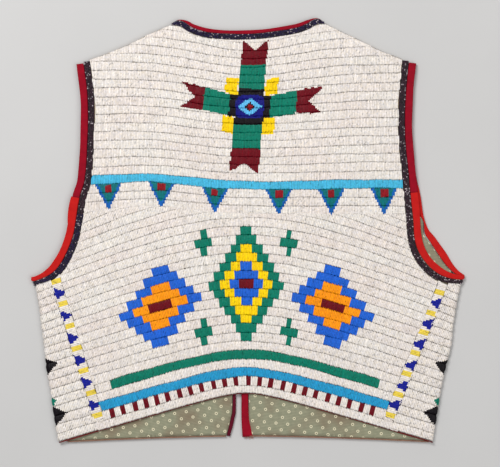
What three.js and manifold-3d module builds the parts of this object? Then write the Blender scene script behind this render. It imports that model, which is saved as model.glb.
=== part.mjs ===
// A fully beaded hide vest laid flat, beaded back up. The back panel lies on the two fronts,
// which turn up round the side folds and meet it at the side seams. The beadwork is sewn in
// lanes, and each lane stands up as a low rib. Units are millimetres: x runs to the right from
// the middle of the back, h is the height above the lowest hem, z the height above the surface.
import * as THREE from "three";
import { mergeVertices } from "three/addons/utils/BufferGeometryUtils.js";
import Module from "manifold-3d";

const wasm = await Module();
wasm.setup();

// Driving sizes
const LANE = 10.8; // width of a lane, seven beads
const RIB = 1.1; // a lane's crest over the groove beside it
const HIDE = 1.9; // hide and beads together, at a groove
const SEAM = 0.3; // gap between two pieces at a seam
const PLATE = 2.6; // a front's wall, where it lies on the surface
const LINING = 0.8; // cotton lining with its turned edge
const REST = 4.4; // underside of the back, over the lined fronts
const SHOULDER = 2.9; // underside of the back at the shoulder seams
const SHOULDER_DROP = 16; // how far from the shoulder seam the back comes down to it
const EDGING = 8; // width of the dark bead edging round armholes and neck
const BINDING = 9; // width of the red cloth binding
const BINDING_WALL = 2.6; // doubled red cloth over the hide's edge
const FRONT_BINDING_WALL = 3.9; // the same over hide and lining
const HEM_BINDING = 1.8;
const HEM_REACH = 221; // the fronts' hem bindings end here, at the side folds
const NECK_EDGING = 6.5;
const NECK_BINDING = 4.5;
const LINING_IN = 5; // the lining stops this far inside the side fold
const FOLD_RADIUS = 3.5; // outside of the side folds
const FAR = 60; // how far a cutting block reaches below and above the vest
const WIDE = 400; // how far it reaches to each side
const TALL = 700; // and past the neck

const COLOURS = {
  beads: 0xddd6cf,
  crimson: 0x8f0a1c,
  scarlet: 0xb81d18,
  navy: 0x12141d,
  cotton: 0x93957a,
};

const smooth = (t) => THREE.MathUtils.smoothstep(t, 0, 1);

// Low swells of the back, where it doesn't lie quite flat
const swells = [
  { x: -95, h: 400, wide: 60, long: 45, rise: 1.3 },
  { x: 105, h: 330, wide: 55, long: 80, rise: 1.6 },
  { x: -110, h: 170, wide: 50, long: 90, rise: 1.5 },
  { x: 70, h: 130, wide: 70, long: 40, rise: 1.2 },
  { x: 0, h: 240, wide: 60, long: 50, rise: 0.8 },
];

function shoulderHeight(x) {
  const neckEnd = { x: 95, h: 514 };
  const armEnd = { x: 193, h: 471 };
  const slope = (armEnd.h - neckEnd.h) / (armEnd.x - neckEnd.x);
  return neckEnd.h + slope * (Math.abs(x) - neckEnd.x);
}

// The height of the back panel's underside
function underside(x, h) {
  let z = REST;
  for (const s of swells) {
    z += s.rise * Math.exp(-(((x - s.x) / s.wide) ** 2) - ((h - s.h) / s.long) ** 2);
  }
  const near = 1 - (shoulderHeight(x) - h) / SHOULDER_DROP;
  return z - (z - SHOULDER) * smooth(near);
}

// Lanes of the yoke, from the neck down: they droop towards the middle, most at the neck, and the
// lowest ones ride up a little to the left of it
const yoke = { low: 283.2, high: 514, droopLow: 1.1, droopHigh: 18.4, wideLow: 135, wideHigh: 74 };
const YOKE_TILT = 0.009;
const crest = { x: -115, wide: 60, rise: 7 };

function yokeLane(level, x) {
  const t = THREE.MathUtils.clamp((level - yoke.low) / (yoke.high - yoke.low), 0, 1);
  const droop = THREE.MathUtils.lerp(yoke.droopLow, yoke.droopHigh, t);
  const wide = THREE.MathUtils.lerp(yoke.wideLow, yoke.wideHigh, t);
  const up = crest.rise * (1 - t) * Math.exp(-(((x - crest.x) / crest.wide) ** 2));
  return level - droop * Math.exp(-((x / wide) ** 2)) - YOKE_TILT * x + up;
}

// Lanes of the skirt, up from the hem: the hem is a wide gable with a small round top, and each
// lane above it is flatter in the middle and steeper at the sides
const skirt = { low: 62, high: 286, steepLow: 0.297, steepHigh: 0.5, flatLow: 8, flatHigh: 74 };
const STEEPER = 1.4; // how slowly the lanes get steeper
const FLATTER = 1.15; // how slowly their tops get flatter
const ARCH_MIDDLE = -2;

function skirtLane(level, x) {
  const t = THREE.MathUtils.clamp((level - skirt.low) / (skirt.high - skirt.low), 0, 1);
  const steep = THREE.MathUtils.lerp(skirt.steepLow, skirt.steepHigh, t ** STEEPER);
  const flat = THREE.MathUtils.lerp(skirt.flatLow, skirt.flatHigh, t ** FLATTER);
  return level - (Math.hypot(flat, steep * (x - ARCH_MIDDLE)) - flat);
}

const backHem = (x) => skirtLane(skirt.low, x);
const frontHem = (x) => 9.2 - 7.5 * (Math.abs(x) / 232) ** 1.6;

// Outlines: each row is a point of the edge
const neckLine = [
  { x: -95.3, h: 513.5 },
  { x: -82.6, h: 511.5 },
  { x: -71.3, h: 504.3 },
  { x: -51.7, h: 498.2 },
  { x: -29, h: 495.9 },
  { x: -3.7, h: 495.6 },
  { x: 18.8, h: 496.9 },
  { x: 40, h: 499.8 },
  { x: 61, h: 503.6 },
  { x: 75.2, h: 508.8 },
  { x: 84, h: 514 },
  { x: 95, h: 515.3 },
];

const sides = {
  left: {
    sign: -1,
    shoulder: [
      { x: -95.3, h: 513.5 },
      { x: -121.1, h: 502.5 },
      { x: -147.7, h: 488.8 },
      { x: -174.3, h: 478 },
      { x: -193.6, h: 471.2 },
    ],
    // The line where the dark edging meets the red binding, from the shoulder to the side fold
    armhole: [
      { x: -201.6, h: 468.5 },
      { x: -196.3, h: 425 },
      { x: -196.3, h: 376 },
      { x: -199.6, h: 326 },
      { x: -206, h: 303 },
      { x: -210.8, h: 274 },
      { x: -214.8, h: 254 },
      { x: -223.4, h: 232 },
      { x: -234.4, h: 215 },
      { x: -247, h: 205.5 },
      { x: -261, h: 199.8 },
    ],
    // The same line on the front below it
    frontArmhole: [
      { x: -200.3, h: 467 },
      { x: -194.6, h: 425 },
      { x: -194.6, h: 376 },
      { x: -197.8, h: 326 },
      { x: -204, h: 303 },
      { x: -208.8, h: 274 },
      { x: -212.6, h: 254 },
      { x: -221.4, h: 232 },
      { x: -232.6, h: 214 },
      { x: -246, h: 204.5 },
      { x: -261, h: 199.8 },
    ],
    seam: { top: { x: -240.6, h: 199 }, foot: { x: -189, h: 32.7 } },
    fold: [
      { x: -262.4, h: 206 },
      { x: -261, h: 194 },
      { x: -256.3, h: 166 },
      { x: -253, h: 138 },
      { x: -250, h: 116 },
      { x: -246.9, h: 88 },
      { x: -242.2, h: 63 },
      { x: -238.8, h: 38 },
      { x: -232.9, h: 0.8 },
    ],
    opening: [
      { x: -90, h: 510 },
      { x: -66, h: 420 },
      { x: -38, h: 345 },
      { x: -16.5, h: 296 },
      { x: -13.5, h: 230 },
      { x: -14.1, h: 58 },
      { x: -16.4, h: 31 },
      { x: -21.6, h: 9.6 },
    ],
    openingBinding: 4.5,
    bindingJoint: 0.58, // where the crimson binding gives way to the scarlet, as a share of the curve
    frontBindingJoint: 0.42,
  },
  right: {
    sign: 1,
    shoulder: [
      { x: 95, h: 515.3 },
      { x: 113.4, h: 505.8 },
      { x: 138.4, h: 494.3 },
      { x: 163.4, h: 481.4 },
      { x: 189.1, h: 471.7 },
    ],
    armhole: [
      { x: 197.3, h: 469.5 },
      { x: 193.5, h: 432 },
      { x: 192.3, h: 382 },
      { x: 197.3, h: 324 },
      { x: 201.6, h: 280 },
      { x: 203.8, h: 253 },
      { x: 209.3, h: 235 },
      { x: 220, h: 219.5 },
      { x: 233, h: 209 },
      { x: 246.5, h: 203.6 },
      { x: 261, h: 201.5 },
    ],
    frontArmhole: [
      { x: 196, h: 468 },
      { x: 191.8, h: 432 },
      { x: 190.6, h: 382 },
      { x: 196, h: 334 },
      { x: 203, h: 302 },
      { x: 206.6, h: 277 },
      { x: 213, h: 259.5 },
      { x: 222, h: 248.5 },
      { x: 231.5, h: 235 },
      { x: 242.5, h: 219.5 },
      { x: 252.5, h: 209.5 },
      { x: 261, h: 203.5 },
    ],
    seam: { top: { x: 240.6, h: 186 }, foot: { x: 179.1, h: 32.9 } },
    fold: [
      { x: 263.2, h: 206 },
      { x: 261, h: 194.5 },
      { x: 256.4, h: 172.5 },
      { x: 252.5, h: 147.5 },
      { x: 249.3, h: 119 },
      { x: 245.4, h: 104 },
      { x: 240.7, h: 85 },
      { x: 237.5, h: 69 },
      { x: 232.9, h: 41 },
      { x: 227.3, h: 6.6 },
    ],
    opening: [
      { x: 90, h: 512 },
      { x: 62, h: 420 },
      { x: 28, h: 345 },
      { x: -4.5, h: 296 },
      { x: -8.8, h: 230 },
      { x: -8.6, h: 58 },
      { x: -7.4, h: 9 },
    ],
    openingBinding: 9,
    bindingJoint: 0.54,
    frontBindingJoint: 0.46,
  },
};

// Points along a smooth curve through the rows of a table
function curve(rows, steps) {
  const spline = new THREE.SplineCurve(rows.map((r) => new THREE.Vector2(r.x, r.h)));
  return spline.getSpacedPoints(steps);
}

// A line moved sideways: a positive distance goes towards the open side of an armhole
function beside(points, sign, distance) {
  return points.map((p, i) => {
    const before = points[Math.max(i - 1, 0)];
    const after = points[Math.min(i + 1, points.length - 1)];
    const along = after.clone().sub(before).normalize();
    const out = new THREE.Vector2(-along.y, along.x).multiplyScalar(sign);
    return p.clone().addScaledVector(out, distance);
  });
}

// A closed solid from points and faces, turned so that its faces point out
function solid(points, faces) {
  const cross = new THREE.Vector3();
  let volume = 0;
  for (const [a, b, c] of faces) {
    volume += points[a].dot(cross.crossVectors(points[b], points[c]));
  }
  const out = volume < 0 ? faces.map(([a, b, c]) => [a, c, b]) : faces;
  const vertProperties = new Float32Array(points.flatMap((p) => p.toArray()));
  const triVerts = new Uint32Array(out.flat());
  return new wasm.Manifold(new wasm.Mesh({ numProp: 3, vertProperties, triVerts }));
}

// An upright prism over an outline
function prism(outline, low, high) {
  const shape = new THREE.Shape(outline);
  const raw = new THREE.ExtrudeGeometry(shape, { depth: high - low, bevelEnabled: false });
  raw.translate(0, 0, low);
  raw.deleteAttribute("normal");
  raw.deleteAttribute("uv");
  const merged = mergeVertices(raw, 1e-3);
  return new wasm.Manifold(
    new wasm.Mesh({
      numProp: 3,
      vertProperties: merged.attributes.position.array,
      triVerts: new Uint32Array(merged.index.array),
    }),
  );
}

// A block between rows of points and a level plane under or over them
function block(rows, level) {
  const across = rows[0].length;
  const last = rows.length - 1;
  const points = rows.flat().map((p) => p.clone());
  const faces = [];
  for (let i = 0; i < last; i++) {
    for (let j = 0; j < across - 1; j++) {
      const a = i * across + j;
      faces.push([a, a + 1, a + across + 1], [a, a + across + 1, a + across]);
    }
  }
  const rim = [];
  for (let j = 0; j < across; j++) rim.push(j);
  for (let i = 1; i <= last; i++) rim.push(i * across + across - 1);
  for (let j = across - 2; j >= 0; j--) rim.push(last * across + j);
  for (let i = last - 1; i > 0; i--) rim.push(i * across);
  const lower = points.length;
  const hub = new THREE.Vector3();
  for (const k of rim) {
    const p = new THREE.Vector3(points[k].x, points[k].y, level);
    points.push(p);
    hub.addScaledVector(p, 1 / rim.length);
  }
  points.push(hub);
  rim.forEach((k, r) => {
    const next = (r + 1) % rim.length;
    faces.push([k, lower + r, lower + next], [k, lower + next, rim[next]]);
    faces.push([points.length - 1, lower + next, lower + r]);
  });
  return solid(points, faces);
}

// Rows of a band of lanes: groove, shoulder, shoulder of each, and a last groove
const RIB_ROWS = [
  { share: 0, rise: 0 },
  { share: 0.24, rise: RIB },
  { share: 0.76, rise: RIB },
];

function laneLevels(first, count) {
  const levels = [];
  for (let lane = 0; lane < count; lane++) {
    for (const { share, rise } of RIB_ROWS) levels.push({ level: first + (lane + share) * LANE, rise });
  }
  levels.push({ level: first + count * LANE, rise: 0 });
  return levels;
}

const even = (from, to, count) =>
  Array.from({ length: count }, (_, i) => THREE.MathUtils.lerp(from, to, i / (count - 1)));

function laneBlock(lane, first, count, columns) {
  const rows = laneLevels(first, count).map(({ level, rise }) =>
    columns.map((x) => {
      const h = lane(level, x);
      return new THREE.Vector3(x, h, underside(x, h) + HIDE + rise);
    }),
  );
  return block(rows, -FAR);
}

// The side seam, on or beside its own line
function seamPoint(side, h, inward) {
  const { top, foot } = side.seam;
  const along = new THREE.Vector2(top.x - foot.x, top.h - foot.h).normalize();
  const x = foot.x + ((h - foot.h) * along.x) / along.y;
  return new THREE.Vector2(x - (side.sign * inward) / along.y, h);
}

// Where the side seam reaches a line a little over the back's hem
function seamFoot(side, inward, over) {
  let foot = seamPoint(side, side.seam.foot.h, inward);
  for (let pass = 0; pass < 6; pass++) foot = seamPoint(side, backHem(foot.x) + over, inward);
  return foot;
}

// The curves that the pieces share
const ARMHOLE_STEPS = 26;
const EDGE_STEPS = 24;
const neckCurve = curve(neckLine, EDGE_STEPS);
for (const side of Object.values(sides)) {
  side.armholeCurve = curve(side.armhole, ARMHOLE_STEPS);
  side.frontArmholeCurve = curve(side.frontArmhole, ARMHOLE_STEPS);
  side.armholeEdge = beside(side.armholeCurve, side.sign, -(EDGING + SEAM));
  side.foldCurve = curve(side.fold, 14);
  side.openingCurve = curve(side.opening, EDGE_STEPS);
}

// The back panel: yoke lanes, skirt lanes under them, and one lane along each side seam
const BORDER = 11.6;
const OVER_HEM = HEM_BINDING + SEAM;
const BORDER_TOP = 225; // over the foot of the armholes
const HEM_STEPS = 60;
const YOKE_LANES = 22;
const SKIRT_LANES = 26;

function backOutline() {
  const points = [];
  const { left, right } = sides;
  const addSide = (side) => {
    const shoulder = side.shoulder.map((r) => new THREE.Vector2(r.x, r.h));
    const cut = (p) => Math.abs(p.x) < Math.abs(seamPoint(side, p.y, SEAM / 2).x);
    const edge = side.armholeEdge.filter(cut);
    const corner = seamPoint(side, edge[edge.length - 1].y - 1.5, SEAM / 2);
    return [...shoulder, ...edge.slice(1), corner, seamFoot(side, SEAM / 2, OVER_HEM)];
  };
  points.push(...addSide(right));
  const from = points[points.length - 1].x;
  const leftRun = addSide(left).reverse();
  const hemXs = even(from, leftRun[0].x, HEM_STEPS).slice(1, -1);
  points.push(...hemXs.map((x) => new THREE.Vector2(x, backHem(x) + OVER_HEM)));
  points.push(...leftRun);
  points.push(...neckCurve.slice(1, -1));
  return points;
}

function borderLane(side) {
  const across = [
    { inward: -2, rise: 0 },
    { inward: SEAM, rise: 0 },
    { inward: 0.24 * BORDER, rise: RIB },
    { inward: 0.76 * BORDER, rise: RIB },
    { inward: BORDER, rise: 0 },
    { inward: BORDER + 1, rise: 0 },
  ];
  const rows = across.map(({ inward, rise }) =>
    even(20, 214, 12).map((h) => {
      const p = seamPoint(side, h, inward);
      return new THREE.Vector3(p.x, p.y, underside(p.x, p.y) + HIDE + rise);
    }),
  );
  return block(rows, -FAR);
}

function borderCut(side, inward, low) {
  const topX = seamPoint(side, BORDER_TOP, inward).x;
  const footX = seamPoint(side, 0, inward).x;
  const footH = skirtLane(low, footX);
  const footIn = seamPoint(side, footH, inward);
  const outerX = footIn.x + side.sign * BORDER * 1.2;
  const out = side.sign * WIDE;
  const outline = [
    new THREE.Vector2(topX, BORDER_TOP),
    footIn,
    new THREE.Vector2(outerX, skirtLane(low, outerX)),
    new THREE.Vector2(out, footH - FAR),
    new THREE.Vector2(out, BORDER_TOP),
  ];
  return prism(outline, -FAR, FAR);
}

function backPanel() {
  const yokeXs = even(-214, 214, 13);
  const skirtXs = even(-256, 256, 15);
  const yokeBlock = laneBlock(yokeLane, yoke.low, YOKE_LANES, yokeXs);
  const over = yokeXs.map((x) => new THREE.Vector2(x, yokeLane(yoke.low, x) + SEAM));
  const overYoke = [
    new THREE.Vector2(-WIDE, over[0].y),
    ...over,
    new THREE.Vector2(WIDE, over[over.length - 1].y),
    new THREE.Vector2(WIDE, TALL),
    new THREE.Vector2(-WIDE, TALL),
  ];
  const skirtBlock = laneBlock(skirtLane, skirt.low, SKIRT_LANES, skirtXs);
  let lanes = skirtBlock.subtract(prism(overYoke, -2 * FAR, FAR));
  for (const side of Object.values(sides)) {
    const level = skirt.low + LANE;
    lanes = lanes.subtract(borderCut(side, BORDER, level));
    lanes = lanes.add(borderLane(side).intersect(borderCut(side, BORDER + SEAM, level - SEAM)));
  }
  const heights = [...even(-20, 430, 9), ...even(446, 534, 9)];
  const onUnderside = (h) => even(-262, 262, 15).map((x) => new THREE.Vector3(x, h, underside(x, h)));
  const under = heights.map(onUnderside);
  return lanes
    .add(yokeBlock)
    .intersect(block(under, FAR))
    .intersect(prism(backOutline(), -FAR, FAR));
}

// A strip along stations, each with its place, its width direction, its outward direction and
// its thickness. The crown rounds its outer face off.
function strip(stations, width) {
  const points = [];
  const faces = [];
  for (const s of stations) {
    const half = (width * (s.scale ?? 1)) / 2;
    const crown = s.crown ?? 0.6;
    const section = [
      { across: -half, up: 0 },
      { across: half, up: 0 },
      { across: half, up: s.wall - crown },
      { across: 0.55 * half, up: s.wall },
      { across: -0.55 * half, up: s.wall },
      { across: -half, up: s.wall - crown },
    ];
    for (const { across, up } of section) {
      points.push(s.at.clone().addScaledVector(s.out, across).addScaledVector(s.up, up));
    }
  }
  const n = 6;
  for (let i = 0; i < stations.length - 1; i++) {
    for (let j = 0; j < n; j++) {
      const a = i * n + j;
      const b = i * n + ((j + 1) % n);
      faces.push([a, b, b + n], [a, b + n, a + n]);
    }
  }
  const end = (stations.length - 1) * n;
  for (let j = 1; j < n - 1; j++) {
    faces.push([0, j + 1, j], [end, end + j, end + j + 1]);
  }
  return solid(points, faces);
}

const UP = new THREE.Vector3(0, 0, 1);
const DOWN = new THREE.Vector3(0, 0, -1);

// Stations of a strip in the plane, beside a curve: on the back they lie on its underside, and on
// a front they hang from the front's top, thinner where the back comes down at the shoulders
function flatStations(points, sign, { gap, width, layer, wall, scaleAt }) {
  return points.map((p, i) => {
    const before = points[Math.max(i - 1, 0)];
    const after = points[Math.min(i + 1, points.length - 1)];
    const along = after.clone().sub(before).normalize();
    const out = new THREE.Vector3(-sign * along.y, sign * along.x, 0);
    const scale = scaleAt ? scaleAt(i / (points.length - 1)) : 1;
    const offset = gap + (Math.sign(gap) * width * scale) / 2;
    const x = p.x + out.x * offset;
    const h = p.y + out.y * offset;
    if (layer === "back") {
      return { at: new THREE.Vector3(x, h, underside(x, h)), out, up: UP, wall, scale, crown: 0.6 };
    }
    const room = Math.min(wall, underside(x, h) - SEAM);
    return { at: new THREE.Vector3(x, h, room), out, up: DOWN, wall: room, scale, crown: 0.15 };
  });
}

// Stations round a side fold, from the back's last station to the front's first
function foldStations(last, first, sign) {
  const middle = (last.at.z + first.at.z) / 2;
  const gap = (last.at.z - first.at.z) / 2;
  return [60, 30, 0, -30, -60].map((degrees) => {
    const t = (90 - degrees) / 180;
    const turn = THREE.MathUtils.degToRad(degrees);
    const up = new THREE.Vector3(sign * Math.cos(turn), 0, Math.sin(turn));
    const at = last.at.clone().lerp(first.at, t);
    at.x += sign * Math.cos(turn) * gap;
    at.z = middle + Math.sin(turn) * gap;
    const out = last.out.clone().lerp(first.out, t);
    out.x = 0;
    return {
      at,
      out: out.normalize(),
      up,
      wall: THREE.MathUtils.lerp(last.wall, first.wall, t),
      scale: THREE.MathUtils.lerp(last.scale, first.scale, t),
      crown: THREE.MathUtils.lerp(0.6, 0.15, t),
    };
  });
}

// An armhole's strip: down the back, round the fold and up the front
function armholeRun(side, { gap, width, wall, frontWall }) {
  const scaleAt = (t) => 1 - 0.36 * smooth((t - 0.86) / 0.14);
  const onBack = { gap, width, layer: "back", wall, scaleAt };
  const onFront = { gap, width, layer: "front", wall: frontWall, scaleAt };
  const back = flatStations(side.armholeCurve, side.sign, onBack);
  const front = flatStations(side.frontArmholeCurve, side.sign, onFront);
  front.reverse();
  const round = foldStations(back[back.length - 1], front[0], side.sign);
  return { back, round, front };
}

// A front: the wall on the surface, the side fold, and the part that shows beside the back
const FOLD_LANES = 22;
const FOLD_TOP = 197; // the side folds end here, under the armholes

function frontOutline(side, inset) {
  const s = side.sign;
  const toFold = beside(side.foldCurve, s, -inset).filter((p) => p.y < FOLD_TOP);
  const armhole = beside(side.frontArmholeCurve, s, -(EDGING + SEAM));
  const clearOfFold = (p) => s * p.x < s * toFold[0].x - 1 || p.y > FOLD_TOP + 18;
  const up = armhole.reverse().filter(clearOfFold);
  const shoulder = side.shoulder.map((r) => new THREE.Vector2(r.x, r.h)).reverse();
  const opening = beside(side.openingCurve, side.sign, side.openingBinding + 2 * SEAM);
  const hemFrom = opening[opening.length - 1].x;
  const hemTo = toFold[toFold.length - 1].x;
  const hem = even(hemFrom, hemTo, 12).map((x) => new THREE.Vector2(x, frontHem(x) + OVER_HEM));
  const upFold = toFold.slice(0, -1).reverse();
  return [...upFold, ...up, ...shoulder.slice(1, -1), ...opening.slice(0, -1), ...hem];
}

// Where a lane of the skirt meets the side fold
function atFold(side, level) {
  const line = side.foldCurve;
  for (let i = 1; i < line.length; i++) {
    const a = line[i - 1];
    const b = line[i];
    const overA = a.y - skirtLane(level, a.x);
    const overB = b.y - skirtLane(level, b.x);
    if (overA >= 0 && overB < 0) return a.clone().lerp(b, overA / (overA - overB));
  }
  const top = line[0];
  const foot = line[line.length - 1];
  const end = foot.y > skirtLane(level, foot.x) ? foot : top;
  return new THREE.Vector2(end.x, skirtLane(level, end.x));
}

// One row of a front round its side fold: along the lane on top, round, and back under
function foldRow(side, { level, rise }) {
  const s = side.sign;
  const fold = atFold(side, level);
  const gap = (REST - PLATE) / 2;
  const middle = PLATE + gap;
  const centreX = fold.x - s * (FOLD_RADIUS + RIB);
  const onLane = (x) => skirtLane(level, x);
  const slope = onLane(centreX) - onLane(centreX - s);
  const round = (degrees, radius) => {
    const turn = THREE.MathUtils.degToRad(degrees);
    const reach = Math.cos(turn) * radius;
    const rise = Math.sin(turn) * radius;
    return new THREE.Vector3(centreX + s * reach, onLane(centreX) + slope * reach, middle + rise);
  };
  const startX = seamPoint(side, fold.y + 12, 6).x;
  const midX = (startX + centreX) / 2;
  const over = (x) => new THREE.Vector3(x, onLane(x), underside(x, onLane(x)) + HIDE + rise);
  const below = (x) => new THREE.Vector3(x, onLane(x), underside(x, onLane(x)));
  const UNDER = 9;
  const under = (z) => new THREE.Vector3(centreX - s * UNDER, onLane(centreX) - slope * UNDER, z);
  return [
    over(startX),
    over(midX),
    round(90, HIDE + gap + rise),
    round(50, FOLD_RADIUS - 0.3 + rise),
    round(10, FOLD_RADIUS + rise),
    round(-30, FOLD_RADIUS + rise * 0.6),
    round(-62, FOLD_RADIUS),
    new THREE.Vector3(centreX, onLane(centreX), 0),
    under(0),
    under(PLATE),
    round(-90, gap),
    round(0, gap),
    round(90, gap),
    below(midX),
    below(startX),
  ];
}

// The triangles that close one end of rings, going round as the ring does or against it
function capFaces(ring, start, asRing) {
  const flat = ring.map((p) => new THREE.Vector2(p.x, p.z));
  const turn = Math.sign(THREE.ShapeUtils.area(flat)) * (asRing ? 1 : -1);
  return THREE.ShapeUtils.triangulateShape(flat, []).map(([a, b, c]) => {
    const way = Math.sign(THREE.ShapeUtils.area([flat[a], flat[b], flat[c]]));
    return way === turn ? [start + a, start + b, start + c] : [start + a, start + c, start + b];
  });
}

function throughRings(rings) {
  const n = rings[0].length;
  const faces = [];
  for (let i = 0; i < rings.length - 1; i++) {
    for (let j = 0; j < n; j++) {
      const a = i * n + j;
      const b = i * n + ((j + 1) % n);
      faces.push([a, b, b + n], [a, b + n, a + n]);
    }
  }
  const last = rings.length - 1;
  faces.push(...capFaces(rings[0], 0, false), ...capFaces(rings[last], last * n, true));
  return solid(rings.flat(), faces);
}

function frontPanel(side) {
  const s = side.sign;
  const vec = (x, h) => new THREE.Vector2(x, h);
  const rows = laneLevels(skirt.low - LANE, FOLD_LANES);
  const folded = throughRings(rows.map((row) => foldRow(side, row)));
  // What shows on top: outside the seam, under the armhole's edging and over the hem
  const beyondSeam = (p) => s * p.x > s * seamPoint(side, p.y, -SEAM / 2).x;
  const armhole = side.armholeEdge.filter(beyondSeam).reverse();
  const [armEnd, armNext] = armhole;
  const armSlope = (armEnd.y - armNext.y) / (armEnd.x - armNext.x);
  const seamTop = seamPoint(side, armhole[armhole.length - 1].y + 1, -SEAM / 2);
  const foot = seamFoot(side, -SEAM / 2, OVER_HEM);
  const edgeX = s * 240;
  const reach = s * 300;
  const shown = [
    ...even(foot.x, edgeX, 8).map((x) => vec(x, backHem(x) + OVER_HEM)),
    vec(reach, backHem(edgeX)),
    vec(reach, armEnd.y + armSlope * (reach - armEnd.x)),
    ...armhole,
    seamTop,
  ];
  const lower = frontOutline(side, -20);
  const wall = frontOutline(side, FOLD_RADIUS + RIB + 1);
  const joined = prism(shown, PLATE + 0.5, FAR).add(prism(lower, -FAR, PLATE + 0.6));
  return folded.intersect(joined).add(prism(wall, 0, PLATE));
}

// A front's cotton lining lies on the wall, up to its bindings
function frontLining(side) {
  const s = side.sign;
  const foldSide = beside(side.foldCurve, s, -(FOLD_RADIUS + LINING_IN)).filter((p) => p.y < 196);
  const armhole = side.frontArmholeCurve.filter((p) => s * p.x < s * foldSide[0].x - 2);
  const armEdge = beside(armhole, s, -2 * SEAM);
  const shoulder = side.shoulder.map((r) => new THREE.Vector2(r.x, r.h - SHOULDER_DROP * 1.4));
  const top = shoulder.slice(1, -1).reverse();
  const opening = beside(side.openingCurve, s, side.openingBinding + 2 * SEAM);
  const limit = (p) => p.y < shoulderHeight(p.x) - SHOULDER_DROP * 1.4;
  const inner = opening.filter(limit);
  const hemFrom = inner[inner.length - 1].x;
  const hemTo = foldSide[foldSide.length - 1].x;
  const clear = HEM_BINDING + 2 * SEAM;
  const hem = even(hemFrom, hemTo, 12).map((x) => new THREE.Vector2(x, frontHem(x) + clear));
  const outline = [
    ...foldSide.slice(0, -1).reverse(),
    ...armEdge.filter(limit).reverse(),
    ...top,
    ...inner.slice(0, -1),
    ...hem,
  ];
  return prism(outline, PLATE + SEAM, PLATE + SEAM + LINING);
}

// A strip's first station drawn back a little, for the seam at the shoulder
function shortened(stations) {
  const [first, second] = stations;
  const last = stations[stations.length - 1];
  const before = stations[stations.length - 2];
  const from = { ...first, at: first.at.clone().lerp(second.at, 0.1) };
  const to = { ...last, at: last.at.clone().lerp(before.at, SEAM / last.at.distanceTo(before.at)) };
  return [from, ...stations.slice(1, -1), to];
}

// Materials and the vest itself
function material(color, roughness) {
  return new THREE.MeshStandardMaterial({ color, roughness, metalness: 0 });
}

const finishes = {
  beads: material(COLOURS.beads, 0.35),
  crimson: material(COLOURS.crimson, 0.95),
  scarlet: material(COLOURS.scarlet, 0.95),
  navy: material(COLOURS.navy, 0.35),
  cotton: material(COLOURS.cotton, 0.9),
};

const vest = new THREE.Group();

function addPiece(name, piece, finish) {
  const { numProp, vertProperties, triVerts } = piece.getMesh();
  const count = vertProperties.length / numProp;
  const places = new Float32Array(count * 3);
  for (let i = 0; i < count; i++) {
    places.set(vertProperties.subarray(i * numProp, i * numProp + 3), i * 3);
  }
  const geometry = new THREE.BufferGeometry();
  geometry.setAttribute("position", new THREE.BufferAttribute(places, 3));
  geometry.setIndex(new THREE.BufferAttribute(new Uint32Array(triVerts), 1));
  geometry.computeVertexNormals();
  const mesh = new THREE.Mesh(geometry, finishes[finish]);
  mesh.name = name;
  vest.add(mesh);
}

addPiece("back_panel", backPanel(), "beads");

for (const [name, side] of Object.entries(sides)) {
  addPiece(name + "_front_panel", frontPanel(side), "beads");
  addPiece(name + "_front_lining", frontLining(side), "cotton");

  const dark = { gap: -SEAM / 2, width: EDGING, wall: BINDING_WALL, frontWall: PLATE };
  const edging = armholeRun(side, dark);
  const darkRun = [...edging.back, ...edging.round, ...edging.front];
  addPiece(name + "_armhole_edging", strip(darkRun, EDGING), "navy");

  // The red binding is crimson at the shoulder and scarlet below, where a second length takes over
  const red = { gap: 1.5 * SEAM, width: BINDING, wall: BINDING_WALL, frontWall: FRONT_BINDING_WALL };
  const binding = armholeRun(side, red);
  const joint = Math.round(side.bindingJoint * ARMHOLE_STEPS);
  const frontJoint = Math.round(side.frontBindingJoint * ARMHOLE_STEPS);
  const upperBack = shortened(binding.back.slice(0, joint + 1));
  const lowerFront = binding.front.slice(0, frontJoint + 1);
  const lower = [...binding.back.slice(joint), ...binding.round, ...lowerFront];
  const upperFront = shortened(binding.front.slice(frontJoint).reverse());
  addPiece(name + "_armhole_binding_upper_back", strip(upperBack, BINDING), "crimson");
  addPiece(name + "_armhole_binding_lower", strip(lower, BINDING), "scarlet");
  addPiece(name + "_armhole_binding_upper_front", strip(upperFront, BINDING), "crimson");

  const width = side.openingBinding;
  const edge = { gap: SEAM, width, layer: "front", wall: FRONT_BINDING_WALL };
  const opening = flatStations(side.openingCurve, side.sign, edge);
  addPiece(name + "_front_edge_binding", strip(opening, width), "crimson");

  const hemFrom = side.opening[side.opening.length - 1].x + side.sign * (width + 3 * SEAM);
  const hemTo = side.sign * HEM_REACH;
  const frontHemLine = even(hemFrom, hemTo, 14).map((x) => new THREE.Vector2(x, frontHem(x)));
  const onHem = { gap: 0.01, width: HEM_BINDING, layer: "front", wall: FRONT_BINDING_WALL };
  const frontEdge = flatStations(frontHemLine, side.sign, onHem);
  addPiece(name + "_front_hem_binding", strip(frontEdge, HEM_BINDING), "crimson");
}

const neckDark = { gap: SEAM, width: NECK_EDGING, layer: "back", wall: BINDING_WALL };
const neckRed = { gap: NECK_EDGING + 2 * SEAM, width: NECK_BINDING, layer: "back", wall: BINDING_WALL };
const neckEdging = flatStations(neckCurve, 1, neckDark).slice(2, -1);
const neckBinding = flatStations(neckCurve, 1, neckRed).slice(3, -2);
addPiece("neck_edging", strip(neckEdging, NECK_EDGING), "navy");
addPiece("neck_binding", strip(neckBinding, NECK_BINDING), "crimson");

const hemLine = even(-231, 226, HEM_STEPS).map((x) => new THREE.Vector2(x, backHem(x)));
const onBackHem = { gap: 0.01, width: HEM_BINDING, layer: "back", wall: BINDING_WALL };
const backEdge = flatStations(hemLine, 1, onBackHem);
addPiece("back_hem_binding", strip(backEdge, HEM_BINDING), "crimson");

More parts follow.
